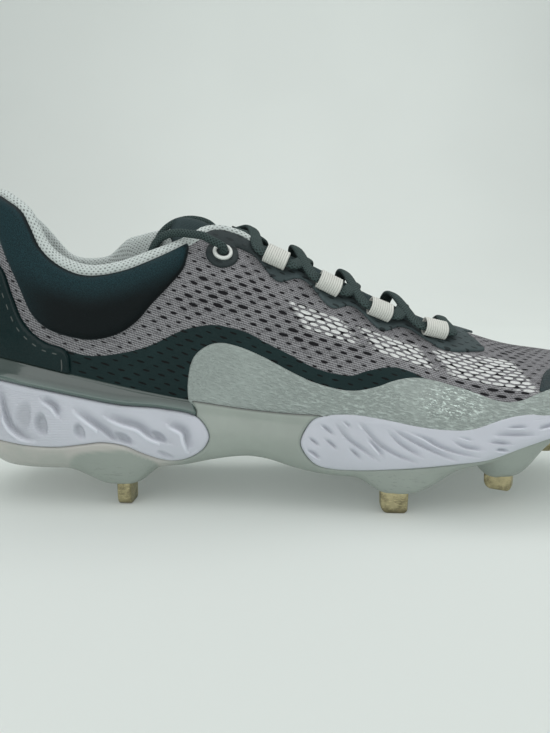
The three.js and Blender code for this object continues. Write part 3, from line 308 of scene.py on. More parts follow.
def tone(red, green, blue):
    """A colour as a screen shows it, 0 to 255, as linear light with full alpha."""
    scaled = [value / 255 for value in (red, green, blue)]
    return [v / 12.92 if v < 0.04045 else ((v + 0.055) / 1.055) ** 2.4 for v in scaled] + [1.0]


def to_scene(points):
    return (np.asarray(points, float) + FRAME_SHIFT) * MM


def smoothstep(value, low, high):
    t = np.clip((np.asarray(value, float) - low) / (high - low), 0, 1)
    return t * t * (3 - 2 * t)


def mix(first, second, share):
    return first + (second - first) * share


def normalised(vectors):
    length = np.linalg.norm(vectors, axis=-1, keepdims=True)
    return vectors / np.maximum(length, 1e-12)


def reach_along(points):
    """The way to each point along a line of points."""
    steps = np.linalg.norm(np.diff(points, axis=0), axis=1)
    return np.concatenate([[0], np.cumsum(steps)])


def turn_of(at):
    return np.arccos(np.clip(1 - 2 * np.asarray(at, float), -1, 1)) / math.pi


def share_of(turn):
    return (1 - np.cos(math.pi * np.asarray(turn, float))) / 2


def along_x(at):
    return (np.asarray(at, float) - 0.5) * LENGTH


def share_at(x):
    return np.asarray(x, float) / LENGTH + 0.5


def through(places, values, measure=lambda value: np.asarray(value, float)):
    """A smooth curve through a table's rows, as the frame's source draws it."""
    at = measure(np.asarray(places, float))
    value = np.asarray(values, float)
    last = len(at) - 1
    before = np.maximum(np.arange(last + 1) - 1, 0)
    after = np.minimum(np.arange(last + 1) + 1, last)
    slope = (value[after] - value[before]) / (at[after] - at[before])

    def curve(where):
        place = np.clip(measure(where), at[0], at[-1])
        i = np.clip(np.searchsorted(at, place, side="right") - 1, 0, last - 1)
        width = at[i + 1] - at[i]
        t = (place - at[i]) / width
        bend = t * t * (3 - 2 * t)
        rising = slope[i] * width * t * (1 - t) ** 2
        falling = slope[i + 1] * width * t * t * (1 - t)
        return mix(value[i], value[i + 1], bend) + rising - falling

    return curve


SECTION_NAMES = ["half", "axis", "crest", "bed", "ridge", "full", "taper", "flare"]
last = {
    name: through(SECTIONS[:, 0], SECTIONS[:, k + 1], turn_of)
    for k, name in enumerate(SECTION_NAMES)
}
heel_inset = through(HEEL_BACK[:, 0], HEEL_BACK[:, 1])
toe_inset = through(TOE_FRONT[:, 0], TOE_FRONT[:, 1])
sole_top = through(SOLE_TOP[:, 0], SOLE_TOP[:, 1])
sole_underside = through(SOLE_UNDERSIDE[:, 0], SOLE_UNDERSIDE[:, 1])
sole_side = through(SOLE_SIDE[:, 0], SOLE_SIDE[:, 1])
throat_half = through(THROAT[:, 0], THROAT[:, 1])


def bed_height(at):
    return PLATE + STACK * last["bed"](at)


def ridge_y(at):
    return BALL_WIDTH * (last["axis"](at) + last["crest"](at))


def sole_top_height(at):
    return PLATE + STACK * sole_top(at)


def underside_height(at):
    return PLATE + STACK * sole_underside(at)


def section_point(at, side, share):
    """One side of a section of the last, from the bed (0) to the ridge (1)."""
    at, side, share = np.broadcast_arrays(np.asarray(at, float), side, share)
    h = 1 - (1 - share) ** 2
    rise = RISE * last["ridge"](at) * h
    arch = np.sqrt(np.maximum(0, 1 - h ** last["full"](at)))
    low = np.clip(rise / (RISE * FEATHER_HEIGHT), 0, 1)
    tuck = 1 - FEATHER_TUCK * (1 - low) ** 2
    half = last["half"](at) * (1 - last["taper"](at) * h * h) * arch * tuck
    lean = heel_inset(rise / RISE) * (1 - at) ** HEEL_LEAN
    lean = lean - toe_inset(rise / RISE) * at**TOE_LEAN
    x = along_x(at) + LENGTH * lean
    y = BALL_WIDTH * (last["axis"](at) + side * half + last["crest"](at) * h * h)
    return np.stack([x, y, bed_height(at) + rise], axis=-1)


def surface_height(x, y):
    """Height of the last above a point of the plan."""
    at = float(np.clip(share_at(x), 0, 1))
    side = -1 if y < ridge_y(at) else 1
    points = section_point(at, side, np.linspace(0, 1, FINE + 1))
    order = np.argsort(points[:, 1])
    return float(np.interp(y, points[order, 1], points[order, 2]))


def surface_point(at, from_ridge):
    x = float(along_x(at))
    y = float(ridge_y(at)) + from_ridge
    return np.array([x, y, surface_height(x, y)])


def seat_on(at, from_ridge):
    """Where a piece sits on the last: a point, the way forward, outward and across."""
    step = 0.01
    place = surface_point(at, from_ridge)
    forward = normalised(surface_point(at + step, from_ridge) - surface_point(at - step, from_ridge))
    side_step = LENGTH * step * 0.5
    sideways = surface_point(at, from_ridge + side_step) - surface_point(at, from_ridge - side_step)
    out = normalised(np.cross(forward, sideways))
    if out[2] < 0:
        out = -out
    return {"place": place, "forward": forward, "out": out, "across": np.cross(out, forward)}


def spline(points, step=1.5, closed=False):
    """A smooth line through points, with its own points about a step apart."""
    points = np.asarray(points, float)
    if closed:
        points = np.concatenate([points[-1:], points, points[:2]])
    else:
        points = np.concatenate([2 * points[:1] - points[1:2], points, 2 * points[-1:] - points[-2:-1]])
    made = []
    for p0, p1, p2, p3 in zip(points, points[1:], points[2:], points[3:]):
        gaps = [max(np.linalg.norm(b - a), 1e-9) ** 0.5 for a, b in ((p0, p1), (p1, p2), (p2, p3))]
        start = (p1 - p0) / gaps[0] - (p2 - p0) / (gaps[0] + gaps[1]) + (p2 - p1) / gaps[1]
        end = (p2 - p1) / gaps[1] - (p3 - p1) / (gaps[1] + gaps[2]) + (p3 - p2) / gaps[2]
        start, end = start * gaps[1], end * gaps[1]
        count = max(1, int(math.ceil(np.linalg.norm(p2 - p1) / step)))
        t = (np.arange(count) / count)[:, None]
        made.append(
            (2 * t**3 - 3 * t**2 + 1) * p1
            + (t**3 - 2 * t**2 + t) * start
            + (3 * t**2 - 2 * t**3) * p2
            + (t**3 - t**2) * end
        )
    if not closed:
        made.append(points[-2:-1])
    return np.concatenate(made)


def sole_line(rows):
    rows = np.asarray(rows, float)
    return np.stack([along_x(rows[:, 0]), PLATE + STACK * rows[:, 1]], axis=1)


def upper_line(rows):
    rows = np.asarray(rows, float)
    return np.stack([along_x(rows[:, 0]), HEEL_BED + RISE * rows[:, 1]], axis=1)


def closed_above(line, height=600.0):
    ends = [[line[-1][0], height], [line[0][0], height]]
    return np.concatenate([line, np.array(ends)])


def closed_below(line):
    return closed_above(line, -600.0)


def line_distance(points, line, closed):
    """Distance of each point from a line, and whether the closed line holds it."""
    starts = line
    ends = np.roll(line, -1, axis=0)
    if not closed:
        starts, ends = line[:-1], line[1:]
    best = np.full(len(points), 1e9)
    inside = np.zeros(len(points), bool)
    px, py = points[:, 0], points[:, 1]
    for (ax, ay), (bx, by) in zip(starts, ends):
        dx, dy = bx - ax, by - ay
        t = np.clip(((px - ax) * dx + (py - ay) * dy) / max(dx * dx + dy * dy, 1e-12), 0, 1)
        best = np.minimum(best, (px - ax - t * dx) ** 2 + (py - ay - t * dy) ** 2)
        if closed and ay != by:
            crosses = (ay > py) != (by > py)
            inside ^= crosses & (px < (bx - ax) * (py - ay) / (by - ay) + ax)
    return np.sqrt(best), inside


def held_by(points, outline):
    """Distance from a closed outline, positive inside it."""
    distance, inside = line_distance(points, outline, True)
    return np.where(inside, distance, -distance)


def side_view(points):
    return points[:, [0, 2]]


def plan_view(points):
    return points[:, :2]


def quads_between(rows, columns, closed=False):
    """Faces of a grid numbered row by row."""
    last_column = columns if closed else columns - 1
    row, column = np.meshgrid(np.arange(rows - 1), np.arange(last_column), indexing="ij")
    start, end = row * columns, (row + 1) * columns
    after = (column + 1) % columns
    return np.stack([start + column, end + column, end + after, start + after], axis=-1).reshape(-1, 4)


def vertex_normals(points, quads):
    across = np.cross(
        points[quads[:, 2]] - points[quads[:, 0]], points[quads[:, 3]] - points[quads[:, 1]]
    )
    total = np.zeros_like(points)
    for k in range(4):
        np.add.at(total, quads[:, k], across)
    return normalised(total)


class Skin:
    """A surface to cut pieces from: points, outward directions, flat places and named measures."""

    def __init__(self, points, outward, flat, quads):
        self.table = np.concatenate([points, outward, flat], axis=1)
        self.names = ["x", "y", "z", "nx", "ny", "nz", "u", "v"]
        self.quads = quads
        self.others = []

    def copy(self):
        made = Skin.__new__(Skin)
        made.table = self.table.copy()
        made.names = list(self.names)
        made.quads = self.quads.copy()
        made.others = list(self.others)
        return made

    @property
    def points(self):
        return self.table[:, :3]

    @property
    def outward(self):
        return normalised(self.table[:, 3:6])

    def __getitem__(self, name):
        return self.table[:, self.names.index(name)]

    def add(self, name, values):
        self.names.append(name)
        self.table = np.concatenate([self.table, np.asarray(values, float)[:, None]], axis=1)
        return self

    def split(self, name, level, drop=False):
        """Cuts faces along the line where a measure has a level, and can drop what is below it."""
        values = self[name] - level
        corner = values[self.quads]
        above = (corner >= 0).all(axis=1)
        below = (corner <= 0).all(axis=1) & ~above
        crossing = ~above & ~below
        waiting = [tuple(face) for face in self.quads[crossing]] + self.others
        self.quads = self.quads[above] if drop else self.quads[~crossing]
        self.others = []
        added, cache = [], {}
        count = len(self.table)
        for face in waiting:
            signs = [values[i] for i in face]
            if min(signs) >= 0:
                self.others.append(face)
                continue
            if max(signs) <= 0:
                if not drop:
                    self.others.append(face)
                continue
            upper_part, lower_part = [], []
            for k, i in enumerate(face):
                j = face[(k + 1) % len(face)]
                first, second = signs[k], signs[(k + 1) % len(face)]
                if first >= 0:
                    upper_part.append(i)
                if first <= 0:
                    lower_part.append(i)
                if first * second < 0:
                    key = (min(i, j), max(i, j))
                    if key not in cache:
                        t = first / (first - second)
                        cache[key] = count + len(added)
                        added.append(self.table[i] * (1 - t) + self.table[j] * t)
                    upper_part.append(cache[key])
                    lower_part.append(cache[key])
            if len(upper_part) > 2:
                self.others.append(tuple(upper_part))
            if not drop and len(lower_part) > 2:
                self.others.append(tuple(lower_part))
        if added:
            self.table = np.concatenate([self.table, np.array(added)])
        return self

    def cut(self, name, levels):
        self.split(name, levels[0], drop=True)
        for level in levels[1:]:
            self.split(name, level)
        return self

    def faces(self):
        return [*self.quads, *self.others]


def finish_object(obj, finish, replaces=()):
    obj.data.materials.clear()
    obj.data.materials.append(material_of(finish))
    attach(obj, "root")
    if replaces:
        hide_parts(*replaces)
    return obj


def make_mesh(name, points, faces, flat=None, marks=None):
    """A mesh object from points in millimetres; flat places and marks become attributes."""
    mesh = bpy.data.meshes.new(name)
    mesh.from_pydata(to_scene(points).tolist(), [], [tuple(face) for face in faces])
    if flat is not None:
        flat = np.asarray(flat, float)
        if flat.shape[1] == 2:
            flat = np.concatenate([flat, np.zeros((len(flat), 1))], axis=1)
        attribute = mesh.attributes.new("flat", "FLOAT_VECTOR", "POINT")
        attribute.data.foreach_set("vector", flat.astype(np.float32).ravel())
    for mark, values in (marks or {}).items():
        attribute = mesh.attributes.new(mark, "FLOAT", "POINT")
        attribute.data.foreach_set("value", np.asarray(values, np.float32))
    obj = bpy.data.objects.new(name, mesh)
    bpy.context.scene.collection.objects.link(obj)
    drop_loose(obj)
    mesh.polygons.foreach_set("use_smooth", [True] * len(mesh.polygons))
    mesh.update()
    return obj


def drop_loose(obj):
    made = bmesh.new()
    made.from_mesh(obj.data)
    loose = [v for v in made.verts if not v.link_faces]
    bmesh.ops.delete(made, geom=loose, context="VERTS")
    bmesh.ops.remove_doubles(made, verts=made.verts, dist=WELD)
    made.to_mesh(obj.data)
    made.free()


def skin_object(name, skin, height, marks=None, edge=None):
    """A piece from a cut skin, moved outward by a height at each point."""
    points = skin.points + skin.outward * np.asarray(height, float)[:, None]
    edge = np.zeros(len(points)) if edge is None else edge
    flat = np.stack([skin["u"], skin["v"], edge], axis=1)
    return make_mesh(name, points, skin.faces(), flat, marks)


def rounded(distance, radius):
    """0 at an edge and 1 a radius inside it, along a quarter circle."""
    t = np.clip(np.asarray(distance, float) / radius, 0, 1)
    return np.sqrt(np.maximum(0, 1 - (1 - t) ** 2))


def last_skin():
    """The last as a fine surface, from the outer feather edge over the ridge to the inner one."""
    turns = np.linspace(0, 1, LAST_ROWS + 1)
    at = share_of(turns)
    fine = np.linspace(0, 1, FINE + 1)
    want = np.linspace(0, 1, LAST_COLUMNS + 1)
    halves, girths = [], []
    for side in (-1, 1):
        rough = section_point(at[:, None], side, fine[None, :])
        steps = np.linalg.norm(np.diff(rough, axis=1), axis=2)
        reach = np.concatenate([np.zeros((len(at), 1)), np.cumsum(steps, axis=1)], axis=1)
        share = np.array([np.interp(want * r[-1], r, fine) for r in reach])
        halves.append(section_point(at[:, None], side, share))
        girths.append(want[None, :] * reach[:, -1:])
    points = np.concatenate([halves[0], halves[1][:, -2::-1]], axis=1)
    girth = np.concatenate([girths[0], girths[1][:, -2::-1]], axis=1)
    before = np.concatenate([points[1:2, ::-1], points[:-1]])
    after = np.concatenate([points[1:], points[-2:-1, ::-1]])
    left = np.concatenate([points[:, :1], points[:, :-1]], axis=1)
    right = np.concatenate([points[:, 1:], points[:, -1:]], axis=1)
    outward = normalised(np.cross(after - before, right - left))
    x = along_x(at)
    shifts = np.linspace(-FLOW_BLUR, FLOW_BLUR, 15)[:, None]
    flow_height = np.interp(x + shifts, MESH_FLOW[:, 0], MESH_FLOW[:, 1]).mean(axis=0)
    flow = np.array([
        [np.interp(flow_height[i], half[i, :, 2], girth_row[i]) for i in range(len(at))]
        for half, girth_row in zip(halves, girths)
    ])
    slope = np.gradient(flow_height, x)
    along = np.concatenate([[0], np.cumsum(np.hypot(np.diff(x), np.diff(flow_height)))])
    along -= np.interp(0, x, along)
    flow = np.concatenate(
        [np.repeat(flow[:1], LAST_COLUMNS + 1, axis=0), np.repeat(flow[1:], LAST_COLUMNS, axis=0)]
    ).T
    above = girth - flow
    lean = np.hypot(1, slope)[:, None]
    u = along[:, None] + above * slope[:, None] / lean
    v = above / lean
    count = points.shape[1]
    flat = np.stack([u, v], axis=-1).reshape(-1, 2)
    quads = quads_between(len(at), count)
    skin = Skin(points.reshape(-1, 3), outward.reshape(-1, 3), flat, quads)
    skin.add("at", np.repeat(at, count))
    skin.add("side", np.tile(np.where(np.arange(count) <= LAST_COLUMNS, -1.0, 1.0), len(at)))
    skin.columns = count
    skin.girth = girth
    return skin


def throat_outline(margin, front, steps=60):
    lines = []
    for side in (-1, 1):
        at = np.linspace(THROAT[0][0], THROAT_END - 0.008, steps + 1)
        y = ridge_y(at) + side * (BALL_WIDTH * throat_half(at) + margin(at))
        lines.append(np.stack([along_x(at), y], axis=1))
    tip = np.array([[along_x(THROAT_END) + front, ridge_y(THROAT_END)]])
    nose = spline(np.concatenate([lines[0][-3:], tip, lines[1][-3:][::-1]]), 0.6)
    return np.concatenate([lines[0][:-3], nose, lines[1][:-3][::-1]])


def stay_margin(at):
    nearest = np.min([np.abs(at - loop) for loop in LOOP_AT], axis=0)
    span = (LOOP_AT[1] - LOOP_AT[0]) / 2
    return STAY_MARGIN + STAY_SCALLOP * np.cos(math.pi / 2 * np.clip(nearest / span, 0, 1)) ** 2


def prepare_last():
    """The skin of the last with what every piece of the upper is cut by."""
    skin = last_skin()
    seen = side_view(skin.points)
    plan = plan_view(skin.points)
    inner = skin["side"] > 0
    collar = [held_by(seen, closed_above(spline(upper_line(rows)))) for rows in (COLLAR, COLLAR_MEDIAL)]
    throat = throat_outline(lambda at: 0 * at, 0)
    opening = np.minimum(-np.where(inner, collar[1], collar[0]), -held_by(plan, throat))
    above_sole = skin.points[:, 2] - sole_top_height(skin["at"])
    skin.add("opening", opening)
    skin.add("above_sole", above_sole)
    flare = np.interp(skin["at"], THROAT_FLARE[:, 0], THROAT_FLARE[:, 1])
    skin.table[:, 2] += flare * smoothstep(7 - opening, 0, 7)
    skin.add("panel", held_by(seen, closed_above(spline(upper_line(PANEL_EDGE)))))
    for name, rows in (("counter", COUNTER_EDGE), ("film", FILM_EDGE), ("band", BAND_EDGE)):
        skin.add(name, held_by(seen, closed_below(spline(upper_line(rows)))))
    cap = spline(upper_line(CAP_EDGE))
    cap_outline = np.concatenate([cap, [[cap[-1][0], 600.0], [600.0, 600.0], [600.0, cap[0][1]]]])
    skin.add("cap", held_by(seen, cap_outline))
    stay = held_by(plan, throat_outline(stay_margin, STAY_FRONT, 120))
    stay = np.maximum(stay, held_by(plan, spline(STAY_NOSE, closed=True)))
    stay = np.minimum(stay, skin.points[:, 0] - along_x(STAY_REAR))
    for side in (-1, 1):
        place = seat_on(EYELET_AT, side * BALL_WIDTH * EYELET_OUT)["place"]
        stay = np.maximum(stay, LOBE_RADIUS - np.linalg.norm(skin.points - place, axis=1))
    stay = np.minimum(stay, -skin["panel"] - 2 * CLEARANCE)
    skin.add("stay", stay)
    return skin


def cap_across(bottom, ring_count, start):
    """A grid that closes the underside across its lowest ring, numbered from a start."""
    outer = bottom[: ring_count + 1]
    inner = np.concatenate([bottom[:1], bottom[ring_count:][::-1]])
    across = np.linspace(0, 1, CAP_COLUMNS + 1)[None, 1:-1, None]
    cap = outer[:, None, :] * (1 - across) + inner[:, None, :] * across
    cap = cap[1:-1]
    index = start + np.arange(cap.shape[0] * cap.shape[1]).reshape(cap.shape[:2])
    outer_index = np.arange(1, ring_count)[:, None]
    inner_index = (len(bottom) - np.arange(1, ring_count))[:, None]
    table = np.concatenate([outer_index, index, inner_index], axis=1)
    quads = np.stack([table[:-1, :-1], table[:-1, 1:], table[1:, 1:], table[1:, :-1]], axis=-1)
    return cap, quads.reshape(-1, 4)


def sole_skin(ring_count=RING, level_count=LEVELS):
    """The sole's outer side, its top edge and its underside as one surface."""
    half_at = share_of(np.linspace(0, 1, ring_count + 1))
    at = np.concatenate([half_at, half_at[-2:0:-1]])
    side = np.concatenate([-np.ones(ring_count + 1), np.ones(ring_count - 1)])
    levels = np.concatenate([np.linspace(0, 1, level_count + 1), [1.0, 1.0]])
    inset = np.concatenate([np.zeros(level_count + 1), [LIP * 0.6, LIP + 1.0]])
    drop = np.concatenate([np.zeros(level_count + 1), [-0.12, 0.5]])
    under, top, bed = underside_height(at), sole_top_height(at), bed_height(at)
    whole = RISE * last["ridge"](at)
    keep = np.minimum(RISE * FEATHER_HEIGHT, whole * KEEP_LOW)
    z = under + (top - under) * levels[:, None]
    height = np.minimum(np.maximum(z - bed, keep), whole * KEEP_HIGH)
    share = 1 - np.sqrt(np.clip(1 - height / whole, 0, 1))
    base = section_point(at[None, :], side[None, :], share)
    xy = base[..., :2]
    along = normalised(np.roll(xy, -1, axis=1) - np.roll(xy, 1, axis=1))
    overhang = OVERHANG * last["flare"](at)[None, :]
    to_lip = smoothstep(levels, 0.78, 1)[:, None]
    out = overhang * sole_side(levels)[:, None] + (LIP - overhang * SOLE_SIDE[-1][1]) * to_lip
    out = out - inset[:, None]
    rings = np.stack(
        [xy[..., 0] + along[..., 1] * out, xy[..., 1] - along[..., 0] * out, z - drop[:, None]], axis=-1
    )
    rows, ring = rings.shape[:2]
    side_quads = quads_between(rows, ring, closed=True)[:, ::-1]
    bottom = rings[0]
    cap, cap_quads = cap_across(bottom, ring_count, rows * ring)
    points = np.concatenate([rings.reshape(-1, 3), cap.reshape(-1, 3)])
    quads = np.concatenate([side_quads, cap_quads])
    outward = vertex_normals(points, quads)
    if outward[rows // 2 * ring + ring_count // 2, 1] > 0:
        quads = quads[:, ::-1]
        outward = -outward
    level = np.stack([along[..., 1], -along[..., 0], 0 * along[..., 0]], axis=-1).reshape(-1, 3)
    sides = outward[: len(level)]
    folded = (sides * level).sum(axis=1) < 0
    sides[folded] = level[folded]
    u = reach_along(np.concatenate([bottom, bottom[:1]])[:, :2])[:-1]
    climb = z - under
    flat_side = np.stack([np.broadcast_to(u, (rows, ring)), climb], axis=-1).reshape(-1, 2)
    flat_cap = np.stack([cap[..., 0], cap[..., 1] - 60], axis=-1).reshape(-1, 2)
    skin = Skin(points, outward, np.concatenate([flat_side, flat_cap]), quads)
    skin.add("below", np.arange(len(points)) >= rows * ring)
    seen = side_view(points)
    heel = spline(sole_line(HEEL_FOAM), 1.0)
    fore = spline(sole_line(FORE_FOAM), 1.0, closed=True)
    rand = np.concatenate(
        [spline(sole_line(HEEL_FOAM[:7])), sole_line(RAND_FRONT), [[along_x(-0.1), PLATE + STACK * 3]]]
    )
    skin.add("heel_foam", held_by(seen, heel))
    skin.add("fore_foam", held_by(seen, fore))
    skin.add("rand", np.minimum(held_by(seen, rand), -skin["heel_foam"]))
    return skin


def slash_relief(points, lines, width, reach):
    """Slanting gouges: soft on the side above each line, steep with a small lip below it."""
    relief = np.zeros(len(points))
    seen = side_view(points)
    for row in lines:
        line = spline(np.array(row), 0.8)
        low = line.min(axis=0) - 4
        high = line.max(axis=0) + 4
        near = np.where(((seen > low) & (seen < high)).all(axis=1))[0]
        if len(near) == 0:
            continue
        starts, ends = line[:-1], line[1:]
        steps = ends - starts
        lengths = np.linalg.norm(steps, axis=1)
        along = np.concatenate([[0], np.cumsum(lengths)])
        to = seen[near][:, None, :] - starts[None]
        t = np.clip((to * steps).sum(-1) / (lengths**2), 0, 1)
        away = to - t[..., None] * steps
        gap = np.linalg.norm(away, axis=2)
        best = gap.argmin(axis=1)
        pick = np.arange(len(near))
        distance = gap[pick, best]
        cross = steps[best, 0] * away[pick, best, 1] - steps[best, 1] * away[pick, best, 0]
        signed = np.where(cross > 0, distance, -distance)
        place = (along[best] + t[pick, best] * lengths[best]) / along[-1]
        taper = np.sin(math.pi * np.clip(place * 0.94 + 0.03, 0, 1)) ** 0.6
        full = width * min(1.0, 0.45 + along[-1] / 22)
        soft = np.exp(-((np.maximum(signed, 0) / full) ** 2))
        steep = np.exp(-((np.minimum(signed, 0) / (0.14 * full)) ** 2))
        lip = 0.26 * np.exp(-(((signed + 0.5 * full) / (0.28 * full)) ** 2))
        relief[near] = np.minimum(relief[near], -reach * taper * soft * steep) + reach * taper * lip
    return relief


def dent_relief(points, rows):
    relief = np.zeros(len(points))
    for x, z, long, wide, turn, depth in rows:
        angle = math.radians(turn)
        dx, dz = points[:, 0] - x, points[:, 2] - z
        a = (dx * math.cos(angle) + dz * math.sin(angle)) / long
        b = (-dx * math.sin(angle) + dz * math.cos(angle)) / wide
        b = np.where(b < 0, b * 1.35, b * 0.8)
        relief -= depth * smoothstep(1.15 - np.sqrt(a * a + b * b), 0, 0.75)
    return relief


def mount_drop(skin):
    """How far each point of the plate is lowered to take in the mounts of the studs."""
    points = skin.points
    drop = np.zeros(len(points))
    climb = np.where(skin["below"] > 0, 0, skin["v"])
    hold = 1 - smoothstep(climb, 1.5, 10)
    for _, at, across, _, _, foot, back, front, wide in STUDS:
        dx = points[:, 0] - along_x(at)
        dy = points[:, 1] - BALL_WIDTH * (float(last["axis"](at)) + across)
        along = np.where(dx < 0, -dx / back, dx / front)
        bell = (1 - smoothstep(np.hypot(along, dy / wide), 0.3, 1.0)) ** 1.25
        drop = np.maximum(drop, np.maximum(points[:, 2] - foot, 0) * bell * hold)
    return drop


def tube_rings(path, ups, profile):
    """Rings of points along a path; profile gives each ring's across and up offsets."""
    along = normalised(np.gradient(path, axis=0))
    across = normalised(np.cross(ups, along))
    up = np.cross(along, across)
    return path[:, None] + profile[..., :1] * across[:, None] + profile[..., 1:] * up[:, None]


def end_caps(count, around):
    """The two faces that close a tube of so many rings."""
    size = count * around
    return [tuple(range(around)), tuple(range(size - 1, size - around - 1, -1))]


def tube_object(name, rings):
    """A closed tube through rings of points, with places along and round it."""
    count, around = rings.shape[:2]
    faces = list(quads_between(count, around, closed=True)[:, ::-1])
    middle = rings.mean(axis=1)
    reach = reach_along(middle)
    around_at = reach_along(rings[count // 2])
    flat = np.stack([np.repeat(reach, around), np.tile(around_at, count)], axis=1)
    faces += end_caps(count, around)
    return make_mesh(name, rings.reshape(-1, 3), faces, flat)


def fuller(value):
    """A sine or cosine that makes an ellipse's edges fuller."""
    return np.sign(value) * np.abs(value) ** 0.8


def oval_profile(width, thickness):
    """A lace's section: a flat oval with fuller edges than an ellipse."""
    angle = np.linspace(0, 2 * math.pi, CORD_SIDES, endpoint=False)
    return np.stack([fuller(np.cos(angle)) * width / 2, fuller(np.sin(angle)) * thickness / 2], axis=1)


LOOP_OUT = [4.2, 4.2, 4.4, 6.2]
LOOP_BACK = [0.0055, 0.0065, 0.0055, 0.001]
LOOP_HALF_HEIGHT = LACE_THICKNESS / 2 + 3 * CLEARANCE + LOOP_TAPE
LOOP_HALF_WIDTH = LACE_WIDTH / 2 + 3 * CLEARANCE + LOOP_TAPE
LOOP_LIFT = EYESTAY + CLEARANCE + LOOP_HALF_HEIGHT
CROSS_LIFT = 5.2
LACE_EXIT = 2.2
# Distances from a film's edge at which it is cut, so that its edge can be rounded
FILM_LEVELS = [0, 0.12, 0.35, 0.7]


def loop_frame(index, side):
    at = LOOP_AT[index] - LOOP_BACK[index]
    seat = seat_on(at, side * (BALL_WIDTH * float(throat_half(at)) + LOOP_OUT[index]))
    seat["centre"] = seat["place"] + seat["out"] * LOOP_LIFT
    return seat


def strand_points(first_side):
    """One strand from the throat's top through its loops. Where two cross, the inner one lies over."""
    start_at = EYELET_AT + 0.012
    start = surface_point(start_at, -first_side * BALL_WIDTH * float(throat_half(start_at)) * 0.55)
    points = [start + [0, 0, CROSS_LIFT * 0.6]]
    for index, at in enumerate(LOOP_AT):
        side = first_side if index % 2 == 0 else -first_side
        over = side < 0
        last_at = start_at if index == 0 else LOOP_AT[index - 1]
        middle_at = mix(last_at, at, 0.38 if over else 0.62)
        points.append(
            surface_point(middle_at, -1.5 * side) + [0, 0, CROSS_LIFT + (0.9 if over else -1.9)]
        )
        seat = loop_frame(index, side)
        reach = LOOP_LENGTH / 2 + LACE_EXIT
        for share in (-1, -0.35, 0.35, 1):
            points.append(seat["centre"] + seat["forward"] * reach * share)
    end_at = LOOP_AT[-1] + (LOOP_LENGTH / 2 + 2 * LACE_EXIT) / LENGTH
    points.append(surface_point(end_at, 0) + [0, 0, CROSS_LIFT * 0.6])
    return np.array(points)


def eyelet_frame(side):
    return seat_on(EYELET_AT, side * BALL_WIDTH * EYELET_OUT)


def lace_end_route(word):
    """The lace end's centreline: out of its eyelet, over the collar and down inside the shoe."""
    seat = eyelet_frame(SIDES[word])
    rise = LACE_THICKNESS * (1.25 if word == "lateral" else 2)
    route = [seat["place"] + seat["out"] * height for height in (0, EYESTAY + rise)]
    for at, across, up in LACE_ENDS[word]:
        y = float(ridge_y(at)) + BALL_WIDTH * across
        route.append(np.array([float(along_x(at)), y, HEEL_BED + RISE * up]))
    return spline(np.array(route), 1.0)


def stud_outline():
    half = STUD_WIDTH / 2
    top = STUD_LENGTH + STUD_ROOT
    big, small = 0.28 * STUD_WIDTH, 0.17 * STUD_WIDTH
    turn = np.linspace(0, math.pi / 2, 9)
    left = [[-half + big - big * math.cos(a), big - big * math.sin(a)] for a in turn]
    right = [[half - small + small * math.sin(a), small - small * math.cos(a)] for a in turn]
    return np.array([[-half, top], *left, *right, [half, top]])


